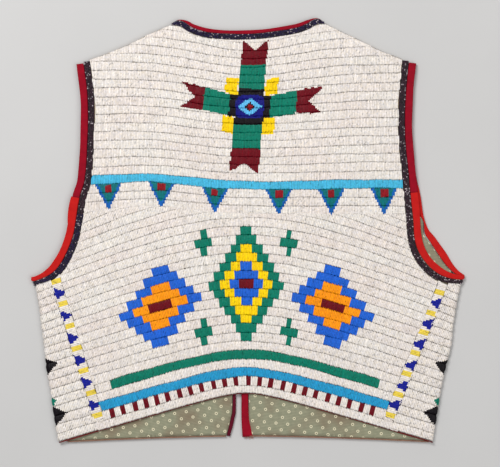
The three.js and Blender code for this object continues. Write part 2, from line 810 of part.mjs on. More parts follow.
// The origin is under the middle of the vest, on the surface it lies on
const box = new THREE.Box3().setFromObject(vest);
const middle = box.getCenter(new THREE.Vector3());
vest.position.set(-middle.x, -middle.y, -box.min.z);

const group = new THREE.Group();
group.add(vest);

export default group;
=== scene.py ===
import bpy
import numpy as np
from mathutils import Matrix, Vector
from mathutils.geometry import delaunay_2d_cdt


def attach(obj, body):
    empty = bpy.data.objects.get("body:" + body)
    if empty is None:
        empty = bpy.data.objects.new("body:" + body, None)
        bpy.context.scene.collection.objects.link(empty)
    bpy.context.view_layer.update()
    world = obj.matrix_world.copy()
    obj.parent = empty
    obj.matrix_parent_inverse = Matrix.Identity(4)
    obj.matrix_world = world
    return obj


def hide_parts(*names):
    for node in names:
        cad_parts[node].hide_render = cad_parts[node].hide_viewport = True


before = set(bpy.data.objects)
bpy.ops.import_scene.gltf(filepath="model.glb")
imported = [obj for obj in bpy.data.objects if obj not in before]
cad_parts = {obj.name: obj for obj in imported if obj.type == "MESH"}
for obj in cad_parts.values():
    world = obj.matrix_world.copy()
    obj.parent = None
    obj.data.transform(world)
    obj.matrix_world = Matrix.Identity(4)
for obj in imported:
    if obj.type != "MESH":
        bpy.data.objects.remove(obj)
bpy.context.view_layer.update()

# The cut of the hide
# The back and the two fronts are cut from soft tanned hide about a millimetre thick. The back
# lies over the lined fronts in low swells, and comes down to them at the shoulder seams.
MIDDLE = np.array([0.07, 261.66, 0.0])
HIDE = 0.95
REST = 4.4
SHOULDER = 2.9
SHOULDER_DROP = 16.0
SEAM = 0.3
EDGING = 8.0
HEM_BINDING = 1.8
OVER_HEM = HEM_BINDING + SEAM

# Swells of the back, each row x, h, wide, long and rise
SWELLS = [
    (-95, 400, 60, 45, 1.3),
    (105, 330, 55, 80, 1.6),
    (-110, 170, 50, 90, 1.5),
    (70, 130, 70, 40, 1.2),
    (0, 240, 60, 50, 0.8),
]

# Edges, each row x and h
NECK_LINE = [
    (-95.3, 513.5),
    (-82.6, 511.5),
    (-71.3, 504.3),
    (-51.7, 498.2),
    (-29, 495.9),
    (-3.7, 495.6),
    (18.8, 496.9),
    (40, 499.8),
    (61, 503.6),
    (75.2, 508.8),
    (84, 514),
    (95, 515.3),
]
SIDES = {
    "left": {
        "sign": -1,
        "shoulder": [(-95.3, 513.5), (-121.1, 502.5), (-147.7, 488.8), (-174.3, 478), (-193.6, 471.2)],
        "armhole": [
            (-201.6, 468.5),
            (-196.3, 425),
            (-196.3, 376),
            (-199.6, 326),
            (-206, 303),
            (-210.8, 274),
            (-214.8, 254),
            (-223.4, 232),
            (-234.4, 215),
            (-247, 205.5),
            (-261, 199.8),
        ],
        "front_armhole": [
            (-200.3, 467),
            (-194.6, 425),
            (-194.6, 376),
            (-197.8, 326),
            (-204, 303),
            (-208.8, 274),
            (-212.6, 254),
            (-221.4, 232),
            (-232.6, 214),
            (-246, 204.5),
            (-261, 199.8),
        ],
        "seam": ((-240.6, 199), (-189, 32.7)),
        "fold": [
            (-262.4, 206),
            (-261, 194),
            (-256.3, 166),
            (-253, 138),
            (-250, 116),
            (-246.9, 88),
            (-242.2, 63),
            (-238.8, 38),
            (-232.9, 0.8),
        ],
        "opening": [
            (-90, 510),
            (-66, 420),
            (-38, 345),
            (-16.5, 296),
            (-13.5, 230),
            (-14.1, 58),
            (-16.4, 31),
            (-21.6, 9.6),
        ],
        "opening_binding": 4.5,
        "binding_joint": 15,
        "front_binding_joint": 11,
        "slack": 0.0,
        "bulge": 2.4,
    },
    "right": {
        "sign": 1,
        "shoulder": [(95, 515.3), (113.4, 505.8), (138.4, 494.3), (163.4, 481.4), (189.1, 471.7)],
        "armhole": [
            (197.3, 469.5),
            (193.5, 432),
            (192.3, 382),
            (197.3, 324),
            (201.6, 280),
            (203.8, 253),
            (209.3, 235),
            (220, 219.5),
            (233, 209),
            (246.5, 203.6),
            (261, 201.5),
        ],
        "front_armhole": [
            (196, 468),
            (191.8, 432),
            (190.6, 382),
            (196, 334),
            (203, 302),
            (206.6, 277),
            (213, 259.5),
            (222, 248.5),
            (231.5, 235),
            (242.5, 219.5),
            (252.5, 209.5),
            (261, 203.5),
        ],
        "seam": ((240.6, 186), (179.1, 32.9)),
        "fold": [
            (263.2, 206),
            (261, 194.5),
            (256.4, 172.5),
            (252.5, 147.5),
            (249.3, 119),
            (245.4, 104),
            (240.7, 85),
            (237.5, 69),
            (232.9, 41),
            (227.3, 6.6),
        ],
        "opening": [(90, 512), (62, 420), (28, 345), (-4.5, 296), (-8.8, 230), (-8.6, 58), (-7.4, 9)],
        "opening_binding": 9.0,
        "binding_joint": 14,
        "front_binding_joint": 12,
        "slack": 7.0,
        "bulge": 0.4,
    },
}
ARMHOLE_STEPS = 26
OPENING_STEPS = 24
NECK_STEPS = 24
FOLD_STEPS = 40
FINER = 6
SHOULDER_INNER = (95, 514)
SHOULDER_OUTER = (193, 471)


def smooth(t):
    """A soft step from 0 to 1."""
    t = np.clip(t, 0.0, 1.0)
    return t * t * (3 - 2 * t)


def blend(pair, t):
    """From the first of two values at 0 to the second at 1."""
    return pair[0] + (pair[1] - pair[0]) * t


def shoulder_height(x):
    slope = (SHOULDER_OUTER[1] - SHOULDER_INNER[1]) / (SHOULDER_OUTER[0] - SHOULDER_INNER[0])
    return SHOULDER_INNER[1] + slope * (np.abs(x) - SHOULDER_INNER[0])


def underside(x, h):
    """The height of the back's underside."""
    z = REST
    for at_x, at_h, wide, long, rise in SWELLS:
        z = z + rise * np.exp(-(((x - at_x) / wide) ** 2) - ((h - at_h) / long) ** 2)
    near = smooth(1 - (shoulder_height(x) - h) / SHOULDER_DROP)
    return z - (z - SHOULDER) * near


def spline(rows, steps):
    """Evenly spaced points on a smooth curve through a table's rows."""
    p = np.array([rows[0], *rows, rows[-1]], float)
    t = np.linspace(0, len(rows) - 1, 40 * len(rows))
    i = np.minimum(t.astype(int), len(rows) - 2)
    f = (t - i)[:, None]
    a, b, c, d = p[i], p[i + 1], p[i + 2], p[i + 3]
    start, end = (c - a) / 2, (d - b) / 2
    q = (2 * b - 2 * c + start + end) * f**3 + (3 * c - 3 * b - 2 * start - end) * f**2 + start * f + b
    arc = np.concatenate([[0], np.cumsum(np.linalg.norm(np.diff(q, axis=0), axis=1))])
    even = np.linspace(0, arc[-1], steps + 1)
    return np.stack([np.interp(even, arc, q[:, 0]), np.interp(even, arc, q[:, 1])], 1)


def outward(points, sign):
    """The direction across a line, towards the open side of an armhole."""
    along = np.vstack([points[1:], points[-1:]]) - np.vstack([points[:1], points[:-1]])
    along /= np.linalg.norm(along, axis=1)[:, None]
    return sign * np.stack([-along[:, 1], along[:, 0]], 1)


def beside(points, sign, distance):
    return points + outward(points, sign) * distance


def seam_point(side, h, inward):
    """The side seam, or a line beside it."""
    (top_x, top_h), (foot_x, foot_h) = side["seam"]
    length = np.hypot(top_x - foot_x, top_h - foot_h)
    lean, rise = (top_x - foot_x) / length, (top_h - foot_h) / length
    x = foot_x + (h - foot_h) * lean / rise - side["sign"] * inward / rise
    return np.stack([x, h + 0 * x], -1)


# Lanes of the skirt follow the hem, a wide gable with a small round top, and get flatter in the
# middle and steeper at the sides. Those of the yoke droop from the neck, and the lowest ones ride
# up a little to the left.
LANE = 10.8
SKIRT_LOW = 62.0
SKIRT_HIGH = 286.0
ARCH_MIDDLE = -2.0
SKIRT_SLOPE = (0.297, 0.5)
SKIRT_ROUND = (8, 74)
STEEPER = 1.4
FLATTER = 1.15
YOKE_LOW = 283.2
YOKE_HIGH = 514.0
YOKE_DROOP = (1.1, 18.4)
YOKE_WIDE = (135, 74)
YOKE_TILT = 0.009
CREST = {"x": -115, "wide": 60, "rise": 7}
FRONT_HEM = {"middle": 9.2, "drop": 7.5, "half": 232, "bend": 1.6}
TAPER = 0.36
TAPER_FROM = 0.86


def skirt_lane(level, x):
    t = np.clip((level - SKIRT_LOW) / (SKIRT_HIGH - SKIRT_LOW), 0, 1)
    steep = blend(SKIRT_SLOPE, t**STEEPER)
    flat = blend(SKIRT_ROUND, t**FLATTER)
    return level - (np.hypot(flat, steep * (x - ARCH_MIDDLE)) - flat)


def yoke_lane(level, x):
    t = np.clip((level - YOKE_LOW) / (YOKE_HIGH - YOKE_LOW), 0, 1)
    droop = blend(YOKE_DROOP, t)
    wide = blend(YOKE_WIDE, t)
    up = CREST["rise"] * (1 - t) * np.exp(-(((x - CREST["x"]) / CREST["wide"]) ** 2))
    return level - droop * np.exp(-((x / wide) ** 2)) - YOKE_TILT * x + up


def back_hem(x):
    return skirt_lane(SKIRT_LOW, x)


def front_hem(x):
    share = np.abs(x) / FRONT_HEM["half"]
    return FRONT_HEM["middle"] - FRONT_HEM["drop"] * share ** FRONT_HEM["bend"]


def seam_foot(side, inward, over):
    """Where the side seam reaches a line a little over the back's hem."""
    foot = seam_point(side, np.array(side["seam"][1][1]), inward)
    for _ in range(6):
        foot = seam_point(side, back_hem(foot[0]) + over, inward)
    return foot


def fold_taper(stations):
    """The share of its width that an armhole's strip keeps as it nears the side fold."""
    return 1 - TAPER * smooth((np.linspace(0, 1, stations) - TAPER_FROM) / (1 - TAPER_FROM))


neck_curve = spline(NECK_LINE, NECK_STEPS * FINER)
for side in SIDES.values():
    side["armhole_curve"] = spline(side["armhole"], ARMHOLE_STEPS * FINER)
    side["front_armhole_curve"] = spline(side["front_armhole"], ARMHOLE_STEPS * FINER)
    side["armhole_edge"] = beside(side["armhole_curve"], side["sign"], -(EDGING + SEAM))
    side["fold_curve"] = spline(side["fold"], FOLD_STEPS)
    side["opening_curve"] = spline(side["opening"], OPENING_STEPS * FINER)


def half_of_back(side):
    """One side of the back's outline, from the neck to the foot of the side seam."""
    edge = side["armhole_edge"]
    edge = edge[np.abs(edge[:, 0]) < np.abs(seam_point(side, edge[:, 1], SEAM / 2)[:, 0])]
    corner = seam_point(side, edge[-1, 1] - 1.5, SEAM / 2)
    return np.vstack([side["shoulder"], edge[1:], corner, seam_foot(side, SEAM / 2, OVER_HEM)])


right_half, left_half = half_of_back(SIDES["right"]), half_of_back(SIDES["left"])[::-1]
hem_x = np.linspace(right_half[-1, 0], left_half[0, 0], 90)[1:-1]
hem_edge = np.stack([hem_x, back_hem(hem_x) + OVER_HEM], 1)
back_outline = np.vstack([right_half, hem_edge, left_half, neck_curve[1:-1]])


def inside(x, h, outline):
    """Which of the points lie inside a closed outline."""
    found = np.zeros(np.broadcast(x, h).shape, bool)
    for (ax, ah), (bx, bh) in zip(outline, np.roll(outline, -1, axis=0)):
        if ah == bh:
            continue
        crosses = (ah > h) != (bh > h)
        found ^= crosses & (x < (bx - ax) * (h - ah) / (bh - ah) + ax)
    return found


def new_piece(name, points, faces, material, rounded=True):
    """An object at the origin whose mesh is these points, given in millimetres."""
    mesh = bpy.data.meshes.new(name)
    mesh.from_pydata(((np.asarray(points, float) - MIDDLE) / 1000).tolist(), [], faces)
    mesh.materials.append(material)
    mesh.polygons.foreach_set("use_smooth", np.full(len(mesh.polygons), rounded))
    mesh.update()
    piece = bpy.data.objects.new(name, mesh)
    bpy.context.scene.collection.objects.link(piece)
    return piece


def thin_sheet(name, outline, spacing, low, high, material):
    """A closed sheet over an outline, from the height low(x, h) to high(x, h)."""
    (x0, h0), (x1, h1) = outline.min(0), outline.max(0)
    grid_x, grid_h = np.meshgrid(np.arange(x0, x1, spacing), np.arange(h0, h1, spacing))
    within = inside(grid_x, grid_h, outline)
    flat = np.vstack([outline, np.stack([grid_x[within], grid_h[within]], 1)])
    rim = list(range(len(outline)))
    found = delaunay_2d_cdt([Vector(p) for p in flat], [], [rim], 1, 1e-3)
    flat = np.array([tuple(p) for p in found[0]])
    faces = np.array([list(f) for f in found[2]])
    first, second, third = (flat[faces[:, k]] for k in range(3))
    turned = np.cross(second - first, third - first) < 0
    faces[turned] = faces[turned][:, ::-1]
    edges = np.vstack([faces[:, [0, 1]], faces[:, [1, 2]], faces[:, [2, 0]]])
    pairs = {tuple(e) for e in edges.tolist()}
    border = [e for e in edges.tolist() if (e[1], e[0]) not in pairs]
    n = len(flat)
    x, h = flat[:, 0], flat[:, 1]
    upper = np.stack([x, h, high(x, h) + 0 * x], 1)
    lower = np.stack([x, h, low(x, h) + 0 * x], 1)
    walls = [[b, a, a + n, b + n] for a, b in border]
    sheet_faces = faces.tolist() + (faces[:, ::-1] + n).tolist() + walls
    return new_piece(name, np.vstack([upper, lower]), sheet_faces, material)


def flat_at(height):
    """A height that is the same all over a sheet."""

    def level(x, h):
        return height + 0 * x

    return level


def back_face(x, h):
    return underside(x, h) + HIDE


def new_material(name, roughness):
    material = bpy.data.materials.new(name)
    material.use_nodes = True
    shader = material.node_tree.nodes["Principled BSDF"]
    shader.inputs["Roughness"].default_value = roughness
    return material, material.node_tree, shader


def math_step(tree, operation, *inputs):
    """The result of a math node whose inputs are numbers or other nodes' outputs."""
    node = tree.nodes.new("ShaderNodeMath")
    node.operation = operation
    for socket, value in zip(node.inputs, inputs):
        if isinstance(value, bpy.types.NodeSocket):
            tree.links.new(value, socket)
        else:
            socket.default_value = value
    return node.outputs[0]


def linear(red, green, blue):
    """A colour as seen, 0 to 255, in the linear values that a shader takes."""
    seen = np.array([red, green, blue]) / 255
    return np.where(seen <= 0.04045, seen / 12.92, ((seen + 0.055) / 1.055) ** 2.4)


def mixed(tree, factor, first, second, kind="MIX"):
    """Two colours mixed. Each is a colour or another node's output."""
    node = tree.nodes.new("ShaderNodeMix")
    node.data_type = "RGBA"
    node.blend_type = kind
    for index, value in ((0, factor), (6, first), (7, second)):
        if isinstance(value, bpy.types.NodeSocket):
            tree.links.new(value, node.inputs[index])
        elif index == 0:
            node.inputs[0].default_value = value
        else:
            node.inputs[index].default_value = (*value, 1)
    return node.outputs[2]


def noise(tree, scale, detail=3.0, stretch=(1, 1, 1)):
    """Noise on the piece's own place, in cycles a metre."""
    place = tree.nodes.new("ShaderNodeTexCoord").outputs["Object"]
    mapping = tree.nodes.new("ShaderNodeMapping")
    mapping.inputs["Scale"].default_value = stretch
    tree.links.new(place, mapping.inputs["Vector"])
    node = tree.nodes.new("ShaderNodeTexNoise")
    node.inputs["Scale"].default_value = scale
    node.inputs["Detail"].default_value = detail
    tree.links.new(mapping.outputs["Vector"], node.inputs["Vector"])
    return node.outputs["Fac"]


def bump(tree, shader, height, distance, strength=1.0):
    node = tree.nodes.new("ShaderNodeBump")
    node.inputs["Strength"].default_value = strength
    node.inputs["Distance"].default_value = distance
    tree.links.new(height, node.inputs["Height"])
    tree.links.new(node.outputs["Normal"], shader.inputs["Normal"])


def hide_material():
    material, tree, shader = new_material("tanned_hide", 0.85)
    cloudy = mixed(tree, noise(tree, 45), linear(196, 172, 138), linear(222, 203, 172))
    pores = noise(tree, 2600, 4)
    worn = mixed(tree, math_step(tree, "MULTIPLY", pores, 0.35), cloudy, linear(150, 122, 92))
    tree.links.new(worn, shader.inputs["Base Color"])
    shader.inputs["Sheen Weight"].default_value = 0.3
    shader.inputs["Sheen Roughness"].default_value = 0.6
    bump(tree, shader, pores, 0.0002, 0.6)
    return material


HIDE_SPACING = 9.0
hide = hide_material()
back_hide = thin_sheet("back_hide", back_outline, HIDE_SPACING, underside, back_face, hide)

# The fronts' hide
# Each front lies beads down under the back. Its side turns up round a soft fold and shows beside
# the back as far as the side seam, so the vest has no seam on the fold itself.
FRONT_FACE = 1.75
FRONT_TOP = 2.65
FOLD_REACH = 4.6
FOLD_MIDDLE = 3.5
FOLD_TOP = 197.0
FOLD_HIDE_HIGH = 285.0
UNDER = 9.0
FOLD_ARC = 3.3 * np.pi
FOLD_RADIUS = 1.85
FOLD_FULLER = 0.6
UNDER_FLATTER = 0.14
FLATTER_FROM = 0.6
ARMHOLE_CLEAR = 18
CLEAR = 0.03


def front_outline(side, inset):
    """A front's flat outline, with its fold side drawn in by inset."""
    s = side["sign"]
    to_fold = beside(side["fold_curve"], s, -inset)
    to_fold = to_fold[to_fold[:, 1] < FOLD_TOP]
    armhole = beside(side["front_armhole_curve"], s, -(EDGING + SEAM))[::-1]
    inner = s * armhole[:, 0] < s * to_fold[0, 0] - 1
    clear = inner | (armhole[:, 1] > FOLD_TOP + ARMHOLE_CLEAR)
    shoulder = np.array(side["shoulder"])[::-1][1:-1]
    opening = beside(side["opening_curve"], s, side["opening_binding"] + 2 * SEAM)
    hem = np.linspace(opening[-1, 0], to_fold[-1, 0], 30)
    hem_line = np.stack([hem, front_hem(hem) + OVER_HEM], 1)
    return np.vstack([to_fold[:-1][::-1], armhole[clear], shoulder, opening[:-1], hem_line])


def fold_levels(side):
    """Lane levels, and where the middle of the side fold lies on each."""
    line = side["fold_curve"]
    levels = np.linspace(-60, 620, 681)
    found = []
    for one in levels:
        over = line[:, 1] - skirt_lane(one, line[:, 0])
        crossing = np.nonzero((over[:-1] >= 0) & (over[1:] < 0))[0]
        if len(crossing):
            i = crossing[0]
            share = over[i] / (over[i] - over[i + 1])
            found.append(line[i, 0] + (line[i + 1, 0] - line[i, 0]) * share)
        else:
            found.append(line[-1, 0] if over[-1] > 0 else line[0, 0])
    return levels, np.array(found) - side["sign"] * FOLD_REACH


def fold_x(side, level):
    levels, centres = side["fold_levels"]
    return np.interp(level, levels, centres)


def round_fold(side, level, along, rise):
    """A point of a front: along is the way from the fold's middle line, under if positive."""
    s = side["sign"]
    centre = fold_x(side, level)
    turn = np.pi / 2 - np.clip(along, 0, FOLD_ARC) / (FOLD_ARC / np.pi)
    base = FOLD_RADIUS + FOLD_FULLER * np.cos(turn)
    flatter = 1 - UNDER_FLATTER * smooth((along / FOLD_ARC - FLATTER_FROM) / (1 - FLATTER_FROM))
    radius = base + rise * flatter
    past = np.maximum(along - FOLD_ARC, 0)
    before = np.minimum(along, 0)
    x = centre + s * (before + np.cos(turn) * radius - past)
    h = skirt_lane(level, x)
    on_top = back_face(x, h) + rise
    z = np.where(along <= 0, on_top, FOLD_MIDDLE + np.sin(turn) * radius)
    return np.stack([x, h, np.maximum(z, CLEAR)], -1)


for name, side in SIDES.items():
    side["fold_levels"] = fold_levels(side)
    side["wall_outline"] = front_outline(side, FOLD_REACH + 1)
    side["front_hide"] = thin_sheet(
        name + "_front_hide",
        side["wall_outline"],
        HIDE_SPACING,
        flat_at(FRONT_FACE),
        flat_at(FRONT_TOP),
        hide,
    )
    s = side["sign"]
    rows = []
    for level in np.arange(SKIRT_LOW + 2.0, FOLD_HIDE_HIGH, 6.0):
        centre = fold_x(side, level)
        start = -s * (centre - seam_point(side, skirt_lane(level, centre) + 12, -0.5)[0])
        along = np.concatenate([np.linspace(start, -0.5, 5), np.linspace(0.01, FOLD_ARC + UNDER, 12)])
        outer = round_fold(side, level, along, 0 * along)
        inner = round_fold(side, level, along, 0 * along - HIDE)
        rows.append(np.vstack([outer, inner[::-1]]))
    rows = np.array(rows)
    ring = rows.shape[1]
    index = np.arange(len(rows) * ring).reshape(len(rows), ring)
    after = np.roll(index, -1, axis=1)
    quads = np.stack([index[:-1], after[:-1], after[1:], index[1:]], -1).reshape(-1, 4)
    faces = quads.tolist() + [index[0][::-1].tolist(), index[-1].tolist()]
    if s < 0:
        faces = [f[::-1] for f in faces]
    side["fold_hide"] = new_piece(name + "_fold_hide", rows.reshape(-1, 3), faces, hide)

# The bead lanes
# Seed beads are strung seven at a time and sewn down in rows side by side, so that each lane
# stands up as a soft ridge with a groove on either side. The lanes hide the whole outside.
BEADS_ACROSS = 7
ROW = 1.95
PROFILE = np.array([1.5, 1.8, 1.93, 1.98, 1.98, 1.93, 1.8, 1.5])
FOLD_PROFILE = np.array([0.8, 1.5, 1.86, 1.98, 1.98, 1.86, 1.5, 0.8])
VALLEY = 0.8
TUCK = 0.07
TUCK_SPREAD = 0.055
RAGGED = 0.03
NARROWEST = 0.4
CHECKS_ACROSS = 57
# Share of places between rows where thread shows in a gap, and how dark it is painted, for thread and
# shade
LOOSE = 0.045
FOLD_LOOSE = 0.13
THREAD_AND_SHADE = 0.3
random = np.random.default_rng(7)

WHITE = linear(229, 221, 214)
SKY = linear(70, 180, 218)
DEEP_SKY = linear(36, 150, 200)
GREEN = linear(0, 118, 96)
DARK_RED = linear(104, 0, 18)
RED = linear(140, 14, 26)
YELLOW = linear(250, 208, 0)
PALE_YELLOW = linear(232, 205, 76)
ORANGE = linear(252, 150, 10)
BLUE = linear(30, 96, 204)
PENDANT_BLUE = linear(14, 92, 172)
TEAL = linear(0, 108, 112)
NAVY = linear(14, 24, 140)
BLACK = linear(16, 10, 16)


def new_lanes():
    keys = ("points", "quads", "rounded", "caps", "tints", "cap_tints", "beads")
    return {"count": 0, **{key: [] for key in keys}}


def thread_shade(stations, loose):
    """How dark painted shade and thread make each point: the valleys between rows get uneven painted
    shade, with a few dark spots of thread and shade, and the lane's two edge points, on crests too, get
    painted shade as in a groove.
    """
    shade = np.ones((stations, 8))
    gaps = random.uniform(0.74, 1.0, (stations, 8)) * random.uniform(0.9, 1.0, (stations, 1))
    gaps[random.random((stations, 8)) < loose] = THREAD_AND_SHADE
    # Painted shade in the valleys between rows
    shade[::2] = gaps[::2]
    # Painted shade at the lane's edges, in the grooves between lanes
    shade[:, [0, 7]] *= random.uniform(0.62, 0.95, (stations, 2))
    return shade


def add_rows(lanes, points, beads, tints, keep, flip, loose=LOOSE):
    """Adds a lane's rows where keep says so. Each run of rows is one closed ribbon."""
    shades = thread_shade(len(points), loose)
    marks = np.flatnonzero(np.diff(np.concatenate([[0], keep.astype(int), [0]])))
    for start, stop in zip(marks[::2], marks[1::2]):
        p = points[2 * start : 2 * stop + 1]
        n = len(p)
        index = lanes["count"] + np.arange(n * 8).reshape(n, 8)
        lanes["count"] += n * 8
        top = np.stack([index[:-1, :-1], index[1:, :-1], index[1:, 1:], index[:-1, 1:]], -1)
        under = np.stack([index[:-1, 0], index[:-1, -1], index[1:, -1], index[1:, 0]], -1)
        quads = np.vstack([top.reshape(-1, 4), under])
        caps = np.stack([index[0], index[-1][::-1]])
        if flip:
            quads, caps = quads[:, ::-1], caps[:, ::-1]
        run = tints[start:stop]
        halves = np.repeat(run, 2, axis=0)
        shade = shades[2 * start : 2 * stop + 1]
        around = np.stack([shade[:-1, :-1], shade[1:, :-1], shade[1:, 1:], shade[:-1, 1:]], -1)
        if flip:
            around = around[..., ::-1]
        corner_tints = halves[:, :, None, :] * around[..., None]
        # The ribbon's underside is painted at half its beads' colour, as the shade under the ribbon
        lower = np.repeat(halves[:, 3] * 0.5, 4, axis=0)
        lanes["points"].append(p.reshape(-1, 3))
        lanes["quads"].append(quads)
        lanes["rounded"].append(np.arange(len(quads)) < len(quads) - len(under))
        lanes["caps"].append(caps)
        lanes["tints"].append(np.vstack([corner_tints.reshape(-1, 3), lower]))
        lanes["cap_tints"].append(np.stack([run[0, 3], run[-1, 3]]))
        lanes["beads"].append(beads[2 * start : 2 * stop + 1].reshape(-1, 2))


def lanes_piece(name, lanes, material):
    quads = np.vstack(lanes["quads"])
    caps = np.vstack(lanes["caps"])
    faces = quads.tolist() + caps.tolist()
    rounded = np.concatenate([*lanes["rounded"], np.zeros(len(caps), bool)])
    piece = new_piece(name, np.vstack(lanes["points"]), faces, material, rounded)
    mesh = piece.data
    tints = np.vstack([*lanes["tints"], np.repeat(np.vstack(lanes["cap_tints"]), 8, axis=0)])
    colour = mesh.color_attributes.new("bead_colour", "FLOAT_COLOR", "CORNER")
    colour.data.foreach_set("color", np.hstack([tints, np.ones((len(tints), 1))]).ravel())
    corners = np.concatenate([quads.ravel(), caps.ravel()])
    layer = mesh.uv_layers.new(name="bead_rows")
    layer.data.foreach_set("uv", np.vstack(lanes["beads"])[corners].ravel())
    return piece


def wobble(line, x):
    """How far the groove on a line strays from its true course."""
    return 0.4 * np.sin(x / 23 + 2.4 * line) + 0.28 * np.sin(x / 9.1 + 1.7 * line * line)


def lane_stations(level_line, level, x_from, x_to):
    """Valleys and crests of a lane's rows, half a row apart: x and the lane's slope."""
    xs = np.linspace(x_from, x_to, 900)
    hs = level_line(level + LANE / 2, xs)
    arc = np.concatenate([[0], np.cumsum(np.hypot(np.diff(xs), np.diff(hs)))])
    rows = int(arc[-1] / ROW) - 1
    first = random.uniform(0, ROW)
    x = np.interp(first + np.arange(2 * rows + 1) * ROW / 2, arc, xs)
    slope = (level_line(level, x + 0.5) - level_line(level, x - 0.5)) / 1.0
    return x, slope


def across_lane(level_line, level, line, x, slope, share):
    """Points across a lane at shares of its width, square to it."""
    up = share * LANE
    place = x[:, None] - slope[:, None] * (up - LANE / 2) / (1 + slope[:, None] ** 2)
    height = level_line(level + up, place)
    stray = (1 - share) * wobble(line, place) + share * wobble(line + 1, place)
    return place, height + stray


def kept_width(allowed):
    """Shares of the lane's width for each row's eight points, and which rows have room.

    A row stays where its crest has room, and a valley without room takes its crest's width.
    At the lane's edge each row is tucked into the next lane, by a little more or less.
    """
    whole = allowed.shape[1] - 1
    first = allowed.argmax(1)
    last = whole - allowed[:, ::-1].argmax(1)
    enough = allowed.any(1) & ((last - first) * BEADS_ACROSS / whole > NARROWEST)
    crest = np.minimum(np.arange(len(first)) | 1, len(first) - 2)
    before = np.maximum(crest - 2, 1)
    fill = np.where(enough[crest], crest, before)
    first = np.where(enough, first, first[fill])
    last = np.where(enough, last, last[fill])
    crests = np.arange(len(first)) % 2 == 1
    ends = TUCK + random.uniform(-TUCK_SPREAD, TUCK_SPREAD, (2, len(first)))
    ends = np.where(crests, ends, TUCK * random.uniform(-0.2, 1.0, (2, len(first))))
    ragged = random.uniform(-RAGGED, RAGGED, (2, len(first)))
    first = np.where(first == 0, -ends[0], first / whole + ragged[0])
    last = np.where(last == whole, 1 + ends[1], last / whole + ragged[1])
    share = first[:, None] + (last - first)[:, None] * np.linspace(0, 1, 8)[None, :]
    return share, enough[1::2]


def row_heights(stations):
    """Each row's crest and valley as a share of the lane's height."""
    crest = 1 + random.uniform(-0.09, 0.04, (stations, 1))
    valley = VALLEY + random.uniform(-0.12, 0.08, (stations, 1))
    return np.where((np.arange(stations) % 2 == 1)[:, None], crest, valley)


def bead_centres(share):
    """The middle of each bead in a row, as a share of the lane's width."""
    centres = (share[1::2, :-1] + share[1::2, 1:]) / 2
    return (np.floor(np.clip(centres, 0, 0.999) * BEADS_ACROSS) + 0.5) / BEADS_ACROSS


def bead_places(line, share):
    """Row number and bead number of each point, which place the beads' domes and gaps."""
    rows = np.repeat((600 * line + 40000 + np.arange(len(share)) / 2)[:, None], 8, 1)
    return np.stack([rows, share * BEADS_ACROSS], -1)


def glass_batch(tints):
    """Beads of one colour differ a little in shade and warmth."""
    rows = len(tints)
    shade = 1 + random.normal(0, 0.06, (rows, 7, 1)) + random.normal(0, 0.04, (rows, 1, 1))
    warm = np.array([0.012, 0.0, -0.03]) * random.normal(0, 1, (rows, 7, 1))
    along = np.arange(rows)[:, None, None]
    drift = 0.035 * np.sin(along / 11 + random.uniform(0, 6)) * np.array([0.3, 1, 1])
    return np.clip(tints * (shade + warm + drift * random.uniform(-1, 1)), 0, 1)


def add_lane(lanes, level_line, level, line, x_range, allowed, place, design, flip=False):
    """Adds one lane: allowed says where beads may be, place puts a point, design colours it."""
    x, slope = lane_stations(level_line, level, *x_range)
    checks = np.linspace(0, 1, CHECKS_ACROSS)[None, :]
    check_x, check_h = across_lane(level_line, level, line, x, slope, checks)
    share, keep = kept_width(allowed(check_x, check_h))
    shift = random.uniform(-0.28, 0.28, (len(x), 1))
    lean = shift + random.uniform(-0.5, 0.5, (len(x), 1)) * (share - 0.5)
    spot_x, spot_h = across_lane(level_line, level, line, x, slope, share)
    points = place(spot_x + lean, spot_h, PROFILE[None, :] * row_heights(len(x)))
    centres = bead_centres(share)
    tints = design(x[1::2][:, None] + 0 * centres, level + centres * LANE)
    add_rows(lanes, points, bead_places(line, share), glass_batch(tints), keep, flip)


def on_back(x, h, rise):
    return np.stack([x, h, back_face(x, h) + rise], -1)


# The yoke's beadwork
# Above the waist line the lanes droop towards the neck. They carry a cross of four forked arms,
# and a stripe with six pendant triangles hanging from it.
YOKE_LANES = 22
YOKE_ENDS = (-212, 212)
CROSS = {"x": 2.2, "level": 424.8, "stretch": 0.925, "lean": 0.092, "tilt": 0.023, "bend": 0.12}
BEND_FROM = 20
BEND_LONG = 37
ARM_HALF = 13.4
ARM_WIDER = {"by": 1.8, "from": 56, "over": 30}
ARM_REACH = {"left": 85.5, "right": 89}
ARM_FORK = 17.5
ARM_GREEN = 57
POST_HALF = {"upper": 15.6, "lower": 17.8}
POST_REACH = 81
POST_FORK = 11.5
POST_GREEN = 51.5
CORNER_BLOCKS = {"u": 24.4, "v": 23.8, "half_u": 7.7, "half_v": 9.9}
ARM_BLACK = (25.2, 13.6)
POST_BLACK = 22.5
# The shapes in the cross's middle: half width, half height, how square, and colour
CROSS_MIDDLE = (
    (17.6, 14.4, 4, linear(14, 16, 118)),
    (15.2, 10.6, 1, linear(92, 182, 232)),
    (6.2, 5.8, 1, BLACK),
    (4, 3.8, 1, RED),
)
PENDANTS = [-170.5, -106.0, -40.5, 37.8, 102.0, 166.4]
PENDANT_HALF = 15.6
PENDANT_TIP = 0.8
PENDANT_EDGE = 3.6
PENDANT_TEAL = 0.74
PENDANT_SQUARE = {"half": 4.4, "from": 0.04, "to": 0.33}
PENDANT_TOP = YOKE_LOW + 3 * LANE


